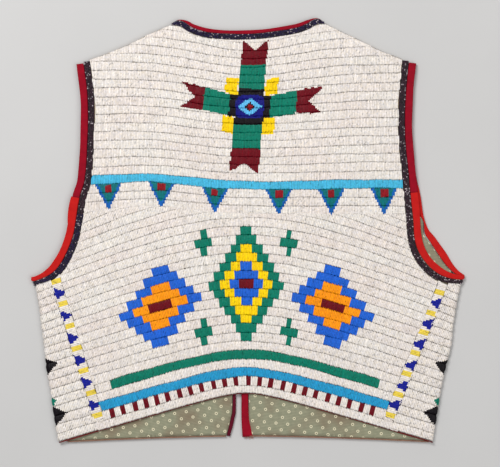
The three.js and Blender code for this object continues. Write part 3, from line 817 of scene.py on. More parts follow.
def cross_colours(x, level, tints):
    """The cross, in its own bent directions: u to the right and v up from its centre."""
    right = x - CROSS["x"]
    up = (level - CROSS["level"]) * CROSS["stretch"]
    u = right - CROSS["lean"] * up
    bend = CROSS["bend"] * np.clip(np.abs(right) - BEND_FROM, 0, BEND_LONG)
    v = up + CROSS["tilt"] * right - bend
    far_u, far_v = np.abs(u), np.abs(v)
    arm = ARM_HALF + ARM_WIDER["by"] * smooth((far_u - ARM_WIDER["from"]) / ARM_WIDER["over"])
    reach = np.where(u > 0, ARM_REACH["right"], ARM_REACH["left"])
    level_arm = (far_v < arm) & (far_u < reach - ARM_FORK * (1 - far_v / arm))
    post = np.where(v > 0, POST_HALF["upper"], POST_HALF["lower"])
    upright_arm = (far_u < post) & (far_v < POST_REACH - POST_FORK * (1 - far_u / post))
    block_u = np.abs(far_u - CORNER_BLOCKS["u"]) < CORNER_BLOCKS["half_u"]
    block_v = np.abs(far_v - CORNER_BLOCKS["v"]) < CORNER_BLOCKS["half_v"]
    tints[block_u & block_v] = YELLOW
    tints[level_arm | upright_arm] = DARK_RED
    tints[level_arm & (far_u < ARM_GREEN)] = GREEN
    tints[upright_arm & (far_v < POST_GREEN)] = GREEN
    tints[(far_u < ARM_BLACK[0]) & (far_v < ARM_BLACK[1])] = BLACK
    tints[(far_u < post) & (far_v < POST_BLACK)] = BLACK
    for half_u, half_v, squareness, tint in CROSS_MIDDLE:
        out = (far_u / half_u) ** squareness + (far_v / half_v) ** squareness
        tints[out < 1] = tint


def yoke_design(x, level):
    tints = np.tile(WHITE, (*x.shape, 1))
    tints[(level > PENDANT_TOP) & (level < PENDANT_TOP + LANE)] = SKY
    for centre in PENDANTS:
        drop = (PENDANT_TOP - level) / (3 * LANE)
        half = PENDANT_HALF * (1 - drop) + PENDANT_TIP
        far = np.abs(x - centre)
        hung = (drop > 0) & (drop < 1) & (far < half)
        square = (drop > PENDANT_SQUARE["from"]) & (drop < PENDANT_SQUARE["to"])
        tints[hung] = PENDANT_BLUE
        tints[hung & (far < half - PENDANT_EDGE) & (drop < PENDANT_TEAL)] = TEAL
        tints[hung & square & (far < PENDANT_SQUARE["half"])] = RED
    cross_colours(x, level, tints)
    return tints


def on_yoke(x, h):
    return inside(x, h, back_outline) & (h > yoke_lane(YOKE_LOW, x) - 1)


yoke_lanes = new_lanes()
for lane in range(YOKE_LANES):
    level = YOKE_LOW + lane * LANE
    add_lane(yoke_lanes, yoke_lane, level, lane, YOKE_ENDS, on_yoke, on_back, yoke_design)


# Painted shade in the gaps between the rows and between the beads: how dark, how narrow, and how much of
# it between beads; DOME_FULL shapes each bead's dome
GAP_SHADE = 0.8
GAP_SHARP = 9.0
BEAD_GAP = 0.45
DOME_FULL = 2.5


def bead_material():
    """Glass seed beads: each one a dome, with painted shade in the gaps between, darker in some places
    than others.
    """
    material, tree, shader = new_material("seed_beads", 0.34)
    colour = tree.nodes.new("ShaderNodeAttribute")
    colour.attribute_name = "bead_colour"
    place = tree.nodes.new("ShaderNodeUVMap")
    place.uv_map = "bead_rows"
    parts = tree.nodes.new("ShaderNodeSeparateXYZ")
    tree.links.new(place.outputs["UV"], parts.inputs["Vector"])
    off = []
    for axis in ("X", "Y"):
        share = math_step(tree, "FRACT", parts.outputs[axis])
        centred = math_step(tree, "SUBTRACT", share, 0.5)
        off.append(math_step(tree, "MULTIPLY", math_step(tree, "ABSOLUTE", centred), 2.0))
    domes = [math_step(tree, "SUBTRACT", 1.0, math_step(tree, "POWER", o, DOME_FULL)) for o in off]
    dome = math_step(tree, "POWER", math_step(tree, "MULTIPLY", *domes), 0.5)
    rows_gap = math_step(tree, "POWER", off[0], GAP_SHARP)
    beads_gap = math_step(tree, "POWER", off[1], GAP_SHARP)
    gaps = math_step(tree, "MAXIMUM", rows_gap, math_step(tree, "MULTIPLY", beads_gap, BEAD_GAP))
    uneven = math_step(tree, "MULTIPLY", noise(tree, 420, 2), 1.7)
    shade = math_step(tree, "MULTIPLY", math_step(tree, "MULTIPLY", gaps, GAP_SHADE), uneven)
    shade.node.use_clamp = True
    # Painted shade: the bead colour darkened towards a dull brown in the gaps
    dark = mixed(tree, 1.0, colour.outputs["Color"], linear(150, 135, 122), "MULTIPLY")
    tree.links.new(mixed(tree, shade, colour.outputs["Color"], dark), shader.inputs["Base Color"])
    shader.inputs["Specular IOR Level"].default_value = 0.12
    bump(tree, shader, dome, 0.0005, 0.42)
    return material


glass = bead_material()
yoke_beadwork = lanes_piece("yoke_beadwork", yoke_lanes, glass)

# The skirt's beadwork
# Below the waist line the lanes arch up from the hem. A bar lane, a stripe and a green ground run
# along the hem, and a border lane of bars and triangles follows each side seam.
SKIRT_LANES = 26
SKIRT_ENDS = (-256, 256)
SKIRT_LINE = 40
BORDER_LINE = 90
BORDER = 12.6
BORDER_OVER = 0.8
BORDER_PROFILE = np.array([1.72, 1.94, 2.02, 2.04, 2.02, 1.94, 1.76, 1.4])
BORDER_TOP = 225.0
BORDER_LEAN = 0.31
BORDER_BARS = 7
BORDER_BAR_HALF = 2.9
TRIANGLE_ROWS = np.array([2, 5, 7, 6, 4, 3, 1])
OUTSIDE = 400
BARS = 24
BAR_FIRST = -165.0
BAR_EVERY = 7.3
STRIPE = (-181.6, 174.0)
GROUND = (-167.0, 160.0)
# Each diamond's middle x and lane, and its steps: half width, lanes from middle to tip, colour
OUTER_STEPS = ((50, 5, BLUE), (33, 3, ORANGE), (14, 1, DARK_RED))
DIAMONDS = (
    (-107.0, 11, OUTER_STEPS),
    (-2.0, 12, ((46, 7, GREEN), (33, 5, YELLOW), (21, 3, BLUE), (9, 1, DARK_RED))),
    (103.0, 11, OUTER_STEPS),
)
# Each small cross's middle x and lane
CROSSLETS = ((-54.0, 17), (50.0, 17), (-54.0, 7), (50.0, 7))


def border_area(side, inward):
    """The outline of the border lane beside a seam, over the edge lane."""
    s = side["sign"]
    level = SKIRT_LOW + LANE
    top = seam_point(side, np.array(BORDER_TOP), inward)
    foot_x = seam_point(side, np.array(0.0), inward)[0]
    foot = seam_point(side, skirt_lane(level, foot_x), inward)
    outer_x = foot[0] + s * BORDER * 1.2
    return np.array(
        [
            top,
            foot,
            (outer_x, skirt_lane(level, outer_x)),
            (s * OUTSIDE, foot[1] - 60),
            (s * OUTSIDE, BORDER_TOP),
        ]
    )


border_areas = [border_area(side, BORDER - 0.6) for side in SIDES.values()]


def over_hem(x, h):
    """On the back, or over the upper half of its hem's binding."""
    near_hem = (h < back_hem(x) + OVER_HEM + 1) & (h > back_hem(x) + OVER_HEM - 1.0)
    return inside(x, h, back_outline) | (near_hem & (np.abs(x) < 184))


def on_skirt(x, h):
    beside_border = ~(inside(x, h, border_areas[0]) | inside(x, h, border_areas[1]))
    return over_hem(x, h) & beside_border & (h < yoke_lane(YOKE_LOW, x) + 1.5)


def stepped(far, height, half, lanes_tall):
    """Inside a stepped triangle: each lane up, it is narrower by the same amount."""
    step = np.floor(height / LANE)
    return (height >= 0) & (step < lanes_tall) & (far < half * (1 - step / lanes_tall))


def bar_rows(x):
    """Which rows of a lane are in the bars: three rows in every seven or eight."""
    row = np.arange(len(x)) - np.abs(x[:, 0] - BAR_FIRST).argmin()
    bar = np.round(row / BAR_EVERY)
    found = (np.abs(row - np.round(bar * BAR_EVERY)) <= 1) & (bar >= 0) & (bar < BARS)
    return found[:, None]


def skirt_design(x, level):
    tints = np.tile(WHITE, (*x.shape, 1))
    lane = np.floor((level - SKIRT_LOW) / LANE)
    tints[(lane == 1) & bar_rows(x)] = DARK_RED
    tints[(lane == 2) & (x > STRIPE[0]) & (x < STRIPE[1])] = DEEP_SKY
    tints[(lane == 4) & (x > GROUND[0]) & (x < GROUND[1])] = GREEN
    # A row of three stepped diamonds
    for centre, middle_lane, steps in DIAMONDS:
        far = np.abs(x - centre)
        up = np.abs(lane - middle_lane) * LANE
        for half, tall, tint in steps:
            tints[stepped(far, up, half, tall)] = tint
    # Small crosses between them
    for centre, middle_lane in CROSSLETS:
        far = np.abs(x - centre)
        away = np.abs(lane - middle_lane)
        tints[((far < 3.5) & (away <= 1)) | ((far < 10.5) & (away == 0))] = GREEN
    return tints


skirt_lanes = new_lanes()
for lane in range(SKIRT_LANES):
    spot = (SKIRT_LOW + lane * LANE, SKIRT_LINE + lane, SKIRT_ENDS)
    add_lane(skirt_lanes, skirt_lane, *spot, on_skirt, on_back, skirt_design)
skirt_beadwork = lanes_piece("skirt_beadwork", skirt_lanes, glass)


def border_design(side):
    """Seven bars along the seam, with a triangle pointing inwards between each two."""
    (_, top), (_, foot) = side["seam"]
    last_bar = BORDER_BARS - 1
    last_row = len(TRIANGLE_ROWS) - 1
    bar_first = foot + 2.0
    pitch = (top - 1.0 - bar_first) / last_bar

    def design(h, inward):
        """Colours at a height on the seam and a share of the way across the lane."""
        tints = np.tile(WHITE, (*h.shape, 1))
        along = (h - bar_first) / pitch
        away = np.abs(along - np.round(along)) * pitch
        counted = (np.round(along) >= 0) & (np.round(along) <= last_bar)
        tints[(away < BORDER_BAR_HALF) & counted] = PALE_YELLOW
        from_middle = np.round((along - np.floor(along) - 0.5) * pitch / ROW)
        row = from_middle.astype(int) + last_row // 2
        beads = TRIANGLE_ROWS[np.clip(row, 0, last_row)] * (row >= 0) * (row <= last_row)
        between = (along > 0) & (along < last_bar)
        tints[between & (inward * BEADS_ACROSS < beads)] = NAVY
        return tints

    return design


for name, side in SIDES.items():
    s = side["sign"]
    area = border_area(side, BORDER + SEAM)
    border = new_lanes()
    count = int((BORDER_TOP - 10) / ROW)
    h = 12 + np.arange(2 * count + 1) * ROW / 2
    checks = np.linspace(0, 1, CHECKS_ACROSS)[None, :]

    def border_points(share):
        inward = share * (BORDER + BORDER_OVER) - BORDER_OVER
        place = seam_point(side, h[:, None], inward)
        stray = (1 - share) * 0.2 * np.sin(h[:, None] / 13)
        return place[..., 0] + stray, place[..., 1] + BORDER_LEAN * inward

    check_x, check_h = border_points(checks)
    on_border = inside(check_x, check_h, area) & inside(check_x - s * 1.2, check_h, back_outline)
    share, keep = kept_width(on_border)
    spot_x, spot_h = border_points(share)
    points = on_back(spot_x, spot_h, BORDER_PROFILE[None, :] * row_heights(len(h)))
    centres = bead_centres(share)
    tints = border_design(side)(h[1::2][:, None] + 0 * centres, centres)
    add_rows(border, points, bead_places(BORDER_LINE, share), glass_batch(tints), keep, s < 0)
    side["border_beadwork"] = lanes_piece(name + "_border_beadwork", border, glass)

# The fronts' beadwork
# The same lanes go on over the side folds and along the fronts, where the vest lies on them.
# Two small stepped triangles of black beads and a green one show at each fold.
FRONT_LANES = 48
FRONT_LOWEST = -6
FOLD_LANES = range(-1, 21)
FRONT_ENDS = {"left": (-268, 2), "right": (-16, 268)}
OVER_SEAM = 0.4
UNDER_EDGING = 0.2
# Each triangle's middle and half height, counted in lanes, how far it reaches, and its colour
FOLD_TRIANGLES = ((8.6, 1.0, 15, BLACK), (2.9, 1.15, 18, BLACK), (4.5, 0.6, 7, GREEN))


def front_design(side):
    s = side["sign"]

    def design(x, level):
        tints = np.tile(WHITE, (*x.shape, 1))
        edge = np.abs(fold_x(side, level)) + FOLD_REACH - np.abs(x)
        bead = np.floor((level - SKIRT_LOW) / LANE * BEADS_ACROSS) / BEADS_ACROSS
        for middle, half, reach, tint in FOLD_TRIANGLES:
            tints[edge < reach * (1 - np.abs(bead - middle) / half)] = tint
        return tints

    return design


def plain_white(x, level):
    return np.tile(WHITE, (*x.shape, 1))


def on_underside(x, h, rise):
    return np.stack([x, h, np.maximum(FRONT_FACE - rise * 0.86, CLEAR)], -1)


for name, side in SIDES.items():
    s = side["sign"]
    fold_lanes = new_lanes()
    edging_wide = EDGING * fold_taper(ARMHOLE_STEPS * FINER + 1)
    beyond = beside(side["armhole_curve"], s, -(edging_wide - UNDER_EDGING)[:, None])
    beyond = beyond[s * beyond[:, 0] > s * seam_point(side, beyond[:, 1], OVER_SEAM)[:, 0]][::-1]
    slope = (beyond[0, 1] - beyond[6, 1]) / (beyond[0, 0] - beyond[6, 0])
    foot = seam_foot(side, OVER_SEAM, OVER_HEM)
    low_x = np.linspace(foot[0], s * 240, 20)
    low_line = np.stack([low_x, back_hem(low_x) + OVER_HEM], 1)
    reach = s * 300
    corners = [(reach, back_hem(s * 240)), (reach, beyond[0, 1] + slope * (reach - beyond[0, 0]))]
    seam_top = seam_point(side, beyond[-1, 1] + 1, OVER_SEAM)
    shown = np.vstack([low_line, corners, beyond, seam_top])
    design = front_design(side)
    for lane in FOLD_LANES:
        level = SKIRT_LOW + lane * LANE
        centre = fold_x(side, level)
        seam_x = seam_point(side, skirt_lane(level, centre) + 10, 4)[0]
        length = abs(centre - seam_x) + FOLD_ARC + UNDER + 1
        rows = int(length / ROW)
        along = np.arange(2 * rows + 1) * ROW / 2 - abs(centre - seam_x)
        flat_x = centre + s * np.minimum(along, 0)
        slope_here = (skirt_lane(level, flat_x + 0.5) - skirt_lane(level, flat_x - 0.5))[:, None]

        def fold_points(share, rise):
            up = share * LANE
            own = level + up
            shift = -s * slope_here * (up - LANE / 2) / (1 + slope_here**2)
            moved = along[:, None] + shift - s * (fold_x(side, own) - centre)
            points = round_fold(side, own, moved, rise)
            stray = (1 - share) * wobble(SKIRT_LINE + lane, points[..., 0])
            points[..., 1] += stray + share * wobble(SKIRT_LINE + lane + 1, points[..., 0])
            return points

        checks = np.linspace(0, 1, CHECKS_ACROSS)[None, :] + 0 * along[:, None]
        tested = fold_points(checks, 0 * checks + 1.0)
        share, keep = kept_width(inside(tested[..., 0], tested[..., 1], shown))
        points = fold_points(share, FOLD_PROFILE[None, :] * row_heights(len(along)))
        centres = bead_centres(share)
        middles = (points[1::2, :-1, 0] + points[1::2, 1:, 0]) / 2
        tints = glass_batch(design(middles, level + centres * LANE))
        beads = bead_places(SKIRT_LINE + lane, share)
        add_rows(fold_lanes, points, beads, tints, keep, s < 0, FOLD_LOOSE)
    side["fold_beadwork"] = lanes_piece(name + "_fold_beadwork", fold_lanes, glass)

    under_lanes = new_lanes()
    wall = front_outline(side, FOLD_REACH + UNDER)

    def on_wall(x, h):
        return inside(x, h, wall)

    for lane in range(FRONT_LOWEST, FRONT_LOWEST + FRONT_LANES):
        level = SKIRT_LOW + lane * LANE
        spot = (level, SKIRT_LINE + lane, FRONT_ENDS[name], on_wall, on_underside)
        add_lane(under_lanes, skirt_lane, *spot, plain_white, flip=True)
    side["under_beadwork"] = lanes_piece(name + "_front_beadwork", under_lanes, glass)

# The fronts' lining
# Each front is lined with a printed cotton calico, turned in along its edges. It shows under the
# arch of the back's hem, and as a crescent in the right armhole.
LINING_LOW = 2.72
LINING_WALL = 0.6
LINING_IN = 8.5
LINING_SPACING = 5.0
CALICO_TURN = {"left": -0.15, "right": 0.1}
RING_REPEAT = (14.4, 15.4, 1)
RING_RADIUS = 1.35
RING_HALF = 0.55
EYE_RADIUS = 0.6
SLACK_AT = 272.0
SLACK_LONG = 12.0


def slack(side, h):
    """How much narrower the front's binding is where it slips under the back's."""
    return side["slack"] * np.exp(-(((h - SLACK_AT) / SLACK_LONG) ** 2))


def lining_outline(side):
    s = side["sign"]
    fold_side = beside(side["fold_curve"], s, -LINING_IN)
    fold_side = fold_side[fold_side[:, 1] < 196]
    armhole = side["front_armhole_curve"]
    armhole = armhole[s * armhole[:, 0] < s * fold_side[0, 0] - 2]
    arm_edge = beside(armhole, s, (slack(side, armhole[:, 1]) - 2 * SEAM)[:, None])
    limit = shoulder_height(arm_edge[:, 0]) - SHOULDER_DROP * 1.4
    arm_edge = arm_edge[arm_edge[:, 1] < limit][::-1]
    top = (np.array(side["shoulder"]) - (0, SHOULDER_DROP * 1.4))[1:-1][::-1]
    opening = beside(side["opening_curve"], s, side["opening_binding"] + 2 * SEAM)
    opening = opening[opening[:, 1] < shoulder_height(opening[:, 0]) - SHOULDER_DROP * 1.4]
    hem = np.linspace(opening[-1, 0], fold_side[-1, 0], 40)
    hem_line = np.stack([hem, front_hem(hem) + HEM_BINDING + 2 * SEAM], 1)
    return np.vstack([fold_side[:-1][::-1], arm_edge, top, opening[:-1], hem_line])


def ripples(x, h):
    """Slack in the lining, in soft ripples that die out under the back."""
    free = smooth((back_hem(x) + 14 - h) / 20)
    soft = np.sin(x / 7.3 + 1.4 * np.sin(h / 11)) * np.sin(h / 9.0 + x / 31)
    return LINING_LOW + LINING_WALL + 0.22 * free * soft


def calico_material(name, turn):
    """Small cream rings with a dark eye, in half-drop rows on a finely lined green ground."""
    material, tree, shader = new_material(name, 0.92)
    place = tree.nodes.new("ShaderNodeTexCoord").outputs["Object"]
    mapping = tree.nodes.new("ShaderNodeMapping")
    mapping.inputs["Rotation"].default_value = (0, 0, turn)
    mapping.inputs["Scale"].default_value = (1000, 1000, 0)
    tree.links.new(place, mapping.inputs["Vector"])

    def vector_step(operation, first, second):
        node = tree.nodes.new("ShaderNodeVectorMath")
        node.operation = operation
        tree.links.new(first, node.inputs[0])
        node.inputs[1].default_value = second
        return node.outputs["Value" if operation == "LENGTH" else "Vector"]

    away = []
    for shift in ((0, 0, 0), (0.5, 0.5, 0)):
        cell = vector_step("DIVIDE", mapping.outputs["Vector"], RING_REPEAT)
        inner = vector_step("FRACTION", vector_step("ADD", cell, shift), (0, 0, 0))
        centred = vector_step("MULTIPLY", vector_step("SUBTRACT", inner, (0.5, 0.5, 0)), RING_REPEAT)
        away.append(vector_step("LENGTH", centred, (0, 0, 0)))
    distance = math_step(tree, "MINIMUM", *away)
    off_ring = math_step(tree, "ABSOLUTE", math_step(tree, "SUBTRACT", distance, RING_RADIUS))
    ring = math_step(tree, "LESS_THAN", off_ring, RING_HALF)
    eye = math_step(tree, "LESS_THAN", distance, EYE_RADIUS)
    parts = tree.nodes.new("ShaderNodeSeparateXYZ")
    tree.links.new(mapping.outputs["Vector"], parts.inputs["Vector"])
    wave = math_step(tree, "SINE", math_step(tree, "MULTIPLY", parts.outputs["Y"], 3.4))
    dots = math_step(tree, "SINE", math_step(tree, "MULTIPLY", parts.outputs["X"], 4.6))
    line = math_step(tree, "MULTIPLY", math_step(tree, "MAXIMUM", wave, 0.0), 0.4)
    dotted = math_step(tree, "ADD", line, math_step(tree, "MULTIPLY", dots, 0.12))
    dotted.node.use_clamp = True
    ground = mixed(tree, noise(tree, 220), linear(122, 124, 102), linear(156, 153, 128))
    stain = math_step(tree, "MULTIPLY", math_step(tree, "SUBTRACT", noise(tree, 28, 2), 0.45), 3.0)
    stain.node.use_clamp = True
    stained = mixed(tree, stain, ground, linear(124, 104, 84))
    lined = mixed(tree, dotted, stained, linear(74, 80, 60))
    ringed = mixed(tree, math_step(tree, "MULTIPLY", ring, 0.8), lined, linear(216, 208, 176))
    eyed = mixed(tree, math_step(tree, "MULTIPLY", eye, 0.8), ringed, linear(58, 50, 40))
    tree.links.new(eyed, shader.inputs["Base Color"])
    weave = noise(tree, 5200, 2)
    bump(tree, shader, weave, 0.00015, 0.7)
    return material


for name, side in SIDES.items():
    calico = calico_material(name + "_calico", CALICO_TURN[name])
    side["lining"] = thin_sheet(
        name + "_lining",
        lining_outline(side),
        LINING_SPACING,
        flat_at(LINING_LOW),
        ripples,
        calico,
    )

# The bindings
# Doubled red wool cloth is folded over the raw edges. The armholes have a crimson length from
# the shoulder and a scarlet one round the side fold, and a thin crimson edge follows each hem.
BINDING = 9.0
BINDING_WALL = 2.6
FRONT_BINDING_WALL = 3.9
FRONT_EDGING_WALL = 2.6
SECTION = 18
SECTION_SIDES = 0.55
SECTION_TOP = 0.6
STRIP_CLEAR = 0.02
NECK_EDGING = 6.5
NECK_RED = 4.6


def flat_stations(points, sign, gap, width, layer, wall, scale=1.0):
    """Places along a strip beside a curve: on the back's underside, or hung from a front's top."""
    n = len(points)
    scale = scale * np.ones(n)
    out = outward(points, sign)
    centre = points + out * (gap + np.sign(gap) * width * scale / 2)[:, None]
    level = underside(centre[:, 0], centre[:, 1])
    flat_out = np.hstack([out, np.zeros((n, 1))])
    up = np.tile([0.0, 0.0, 1.0], (n, 1))
    if layer == "back":
        low, walls = level, np.full(n, float(wall))
    else:
        walls = np.minimum(wall, level - SEAM)
        low, up = walls, -up
    at = np.hstack([centre, low[:, None]])
    return {"at": at, "out": flat_out, "up": up, "wall": walls, "half": width * scale / 2}


def fold_stations(last, first, sign):
    """Places round a side fold, from the back's last place to the front's first."""
    rows = []
    middle = (last["at"][-1, 2] + first["at"][0, 2]) / 2
    gap = (last["at"][-1, 2] - first["at"][0, 2]) / 2
    for degrees in range(80, -81, -10):
        t = (90 - degrees) / 180
        turn = np.radians(degrees)
        at = last["at"][-1] * (1 - t) + first["at"][0] * t
        at = at + np.array([sign * np.cos(turn) * gap, 0, 0])
        at[2] = middle + np.sin(turn) * gap
        out = last["out"][-1] * (1 - t) + first["out"][0] * t
        out[0] = 0
        wall = last["wall"][-1] * (1 - t) + first["wall"][0] * t
        half = last["half"][-1] * (1 - t) + first["half"][0] * t
        out = out / np.linalg.norm(out)
        up = (sign * np.cos(turn), 0, np.sin(turn))
        rows.append({"at": at, "out": out, "up": up, "wall": wall, "half": half})
    return {key: np.array([row[key] for row in rows]) for key in rows[0]}


def joined(*runs):
    return {key: np.concatenate([run[key] for run in runs]) for key in runs[0]}


def part_of(run, start, stop):
    return {key: value[start:stop] for key, value in run.items()}


def armhole_run(side, gap, width, wall, front_wall):
    """A strip down the back's armhole, round the fold and up the front's."""
    s = side["sign"]
    scale = fold_taper(ARMHOLE_STEPS * FINER + 1)
    back = flat_stations(side["armhole_curve"], s, gap, width, "back", wall, scale)
    front = flat_stations(side["front_armhole_curve"], s, gap, width, "front", front_wall, scale)
    front = {key: value[::-1] for key, value in front.items()}
    if gap > 0:
        narrower = slack(side, front["at"][:, 1]) / 2
        front["half"] = front["half"] - narrower
        front["at"] = front["at"] + front["out"] * narrower[:, None]
    return back, fold_stations(back, front, s), front


def cloth_strip(name, run, material, shrink=0.0, waves=0.25):
    """A closed strip with a soft round section, a little uneven along its length."""
    angle = np.linspace(0, 2 * np.pi, SECTION, endpoint=False)
    across = np.sign(np.cos(angle)) * np.abs(np.cos(angle)) ** SECTION_SIDES
    rise = 0.5 + 0.5 * np.sign(np.sin(angle)) * np.abs(np.sin(angle)) ** SECTION_TOP
    n = len(run["at"])
    way = np.concatenate([[0], np.cumsum(np.linalg.norm(np.diff(run["at"], axis=0), axis=1))])
    phase = random.uniform(0, 6.28, 3)
    uneven = 0.5 * np.sin(way / 5.7 + phase[0]) + 0.3 * np.sin(way / 2.9 + phase[1])
    wall = (run["wall"] - shrink + waves * uneven)[:, None]
    half = (run["half"] + 0.6 * waves * np.sin(way / 8.3 + phase[2]) - 0.1)[:, None]
    lift = wall * rise[None, :]
    points = run["at"][:, None, :] + run["out"][:, None, :] * (half * across)[..., None]
    points = points + run["up"][:, None, :] * lift[..., None]
    points[..., 2] = np.maximum(points[..., 2], STRIP_CLEAR)
    index = np.arange(n * SECTION).reshape(n, SECTION)
    after = np.roll(index, -1, axis=1)
    quads = np.stack([index[:-1], after[:-1], after[1:], index[1:]], -1).reshape(-1, 4)
    faces = quads.tolist() + [index[0][::-1].tolist(), index[-1].tolist()]
    return closed_out(new_piece(name, points.reshape(-1, 3), faces, material))


def closed_out(piece):
    """Turns a closed mesh's faces outwards where its volume comes out negative."""
    mesh = piece.data
    mesh.calc_loop_triangles()
    co = np.zeros(len(mesh.vertices) * 3)
    mesh.vertices.foreach_get("co", co)
    tri = np.zeros(len(mesh.loop_triangles) * 3, int)
    mesh.loop_triangles.foreach_get("vertices", tri)
    a, b, c = (co.reshape(-1, 3)[tri.reshape(-1, 3)[:, k]] for k in range(3))
    if np.einsum("ij,ij->i", a, np.cross(b, c)).sum() < 0:
        mesh.flip_normals()
    return piece


def wool_material(name, deep, light):
    """Napped wool cloth: cloudy colour, a fuzz of fine fibres and a soft sheen."""
    material, tree, shader = new_material(name, 0.95)
    cloudy = mixed(tree, noise(tree, 130, 4), deep, light)
    fibre = noise(tree, 2400, 5)
    specked = mixed(tree, math_step(tree, "MULTIPLY", fibre, 0.3), cloudy, deep * 0.35)
    tree.links.new(specked, shader.inputs["Base Color"])
    shader.inputs["Sheen Weight"].default_value = 0.3
    shader.inputs["Sheen Roughness"].default_value = 0.4
    shader.inputs["Sheen Tint"].default_value = (*light, 1)
    shader.inputs["Specular IOR Level"].default_value = 0.2
    bump(tree, shader, fibre, 0.0004, 0.8)
    return material


crimson = wool_material("crimson_wool", linear(116, 0, 22), linear(164, 6, 34))
scarlet = wool_material("scarlet_wool", linear(168, 14, 16), linear(206, 32, 26))
hem_wool = wool_material("hem_wool", linear(70, 14, 18), linear(128, 44, 42))
worn_wool = wool_material("worn_wool", linear(110, 62, 52), linear(168, 140, 116))
edge_wool = wool_material("edge_wool", linear(58, 6, 24), linear(112, 12, 38))


LOOSE_FOOT = {"by": 2.6, "below": 38, "over": 32}
BULGE_STEPS = 20
BULGE_START = 0.12


def loose_foot(h):
    """Half of what the right opening's cloth widens by at its undone foot."""
    return LOOSE_FOOT["by"] * smooth((LOOSE_FOOT["below"] - h) / LOOSE_FOOT["over"])


def bind(piece, node):
    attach(piece, "root")
    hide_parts(node)


for name, side in SIDES.items():
    back, turned, front = armhole_run(side, 0.05, BINDING, BINDING_WALL, FRONT_BINDING_WALL)
    joint = side["binding_joint"] * FINER
    front_joint = side["front_binding_joint"] * FINER
    upper = part_of(back, 1, joint + 1)
    lower = joined(part_of(back, joint, None), turned, part_of(front, 0, front_joint + 1))
    front_upper = part_of(front, front_joint, -1)
    past_joint = np.clip(np.arange(len(lower["half"])) / BULGE_STEPS + BULGE_START, 0, 1)
    bulge = side["bulge"] * np.sin(np.pi * past_joint) ** 0.7
    lower["half"] = lower["half"] + bulge / 2
    lower["at"] = lower["at"] + lower["out"] * (bulge / 2)[:, None]
    strips = (
        ("_armhole_binding_upper_back", upper, crimson, "crimson_cloth"),
        ("_armhole_binding_lower", lower, scarlet, "scarlet_cloth"),
        ("_armhole_binding_upper_front", front_upper, crimson, "crimson_cloth"),
    )
    for ending, run, cloth, slot in strips:
        bind(cloth_strip(name + ending + "_cloth", run, cloth), name + ending)
    width = side["opening_binding"]
    opening = flat_stations(side["opening_curve"], side["sign"], SEAM, width, "front", FRONT_BINDING_WALL)
    if name == "right":
        opening["half"] = opening["half"] + loose_foot(opening["at"][:, 1])
        opening["at"] = opening["at"] + opening["out"] * loose_foot(opening["at"][:, 1])[:, None]
    edge_cloth = crimson if name == "right" else edge_wool
    edge = cloth_strip(name + "_front_edge_cloth", opening, edge_cloth)
    bind(edge, name + "_front_edge_binding")
    hem_from = side["opening"][-1][0] + side["sign"] * (width + 3 * SEAM)
    hem = np.linspace(hem_from, side["sign"] * 221, 120)
    hem_points = np.stack([hem, front_hem(hem)], 1)
    strip = flat_stations(hem_points, side["sign"], 0.01, HEM_BINDING, "front", FRONT_BINDING_WALL)
    hem_cloth = cloth_strip(name + "_front_hem_cloth", strip, worn_wool, waves=0.12)
    bind(hem_cloth, name + "_front_hem_binding")

neck_places = np.arange(NECK_STEPS * FINER + 1)
from_end = np.minimum(neck_places, neck_places[::-1])
neck_scale = 0.12 + 0.88 * smooth((from_end + 1) / 8)
red_scale = 0.08 + 0.92 * smooth((from_end - 4) / 11)
neck_gap = (NECK_EDGING + SEAM) * neck_scale
neck_red = flat_stations(neck_curve, 1, neck_gap, NECK_RED, "back", BINDING_WALL, red_scale)
neck_cloth = cloth_strip("neck_cloth", part_of(neck_red, 5, -4), crimson)
bind(neck_cloth, "neck_binding")
hem = np.linspace(-231, 226, 260)
hem_points = np.stack([hem, back_hem(hem)], 1)
hem_strip = flat_stations(hem_points, 1, 0.01, HEM_BINDING, "back", BINDING_WALL)
back_hem_cloth = cloth_strip("back_hem_cloth", hem_strip, hem_wool, shrink=0.9, waves=0.2)
bind(back_hem_cloth, "back_hem_binding")

# The frayed end
# The red cloth of the right opening has come undone at its foot. Loose threads stand out past it
# and along its inner edge, over the lining.
THREADS = 90
THREAD_THICK = 0.13
THREAD_JOINTS = 6
FRAY_UP = 46


def frayed_threads(name, material):
    """Thin three-sided threads, each a bent line that lies on what is under it."""
    opening = SIDES["right"]["opening_curve"]
    width = SIDES["right"]["opening_binding"]
    points, faces = [], []
    for thread in range(THREADS):
        foot = thread % 3 > 0
        low = opening[-1, 1]
        h = low + 0.4 if foot else low + random.uniform(0.5, FRAY_UP)
        across = random.uniform(0.3, 1.0) if foot else 1.0
        x = np.interp(-h, -opening[:, 1], opening[:, 0]) + (width + 2 * loose_foot(h)) * across
        away = random.uniform(-2.0, -1.1) if foot else random.uniform(-1.0, 0.6)
        reach = random.uniform(1.5, 5.0) if foot else random.uniform(1.0, 2.6)
        bend = random.normal(0, 0.5)
        base = len(points)
        for joint in range(THREAD_JOINTS):
            share = joint / (THREAD_JOINTS - 1)
            turn = away + bend * share
            z = 3.6 - 2.6 * smooth(share * 1.6) if foot else 3.75
            thick = THREAD_THICK * (1 - 0.6 * share)
            side_way = np.array([-np.sin(turn), np.cos(turn), 0])
            for corner in range(3):
                angle = corner * 2 * np.pi / 3
                rise = np.array([0, 0, np.sin(angle)])
                points.append(np.array([x, h, z]) + thick * (np.cos(angle) * side_way + rise))
            x = x + np.cos(turn) * reach / THREAD_JOINTS
            h = h + np.sin(turn) * reach / THREAD_JOINTS
        for joint in range(THREAD_JOINTS - 1):
            for corner in range(3):
                a, b = base + 3 * joint + corner, base + 3 * joint + (corner + 1) % 3
                faces.append([a, b, b + 3, a + 3])
        end = base + 3 * (THREAD_JOINTS - 1)
        faces += [[base + 2, base + 1, base], [end, end + 1, end + 2]]
    return closed_out(new_piece(name, points, faces, material))


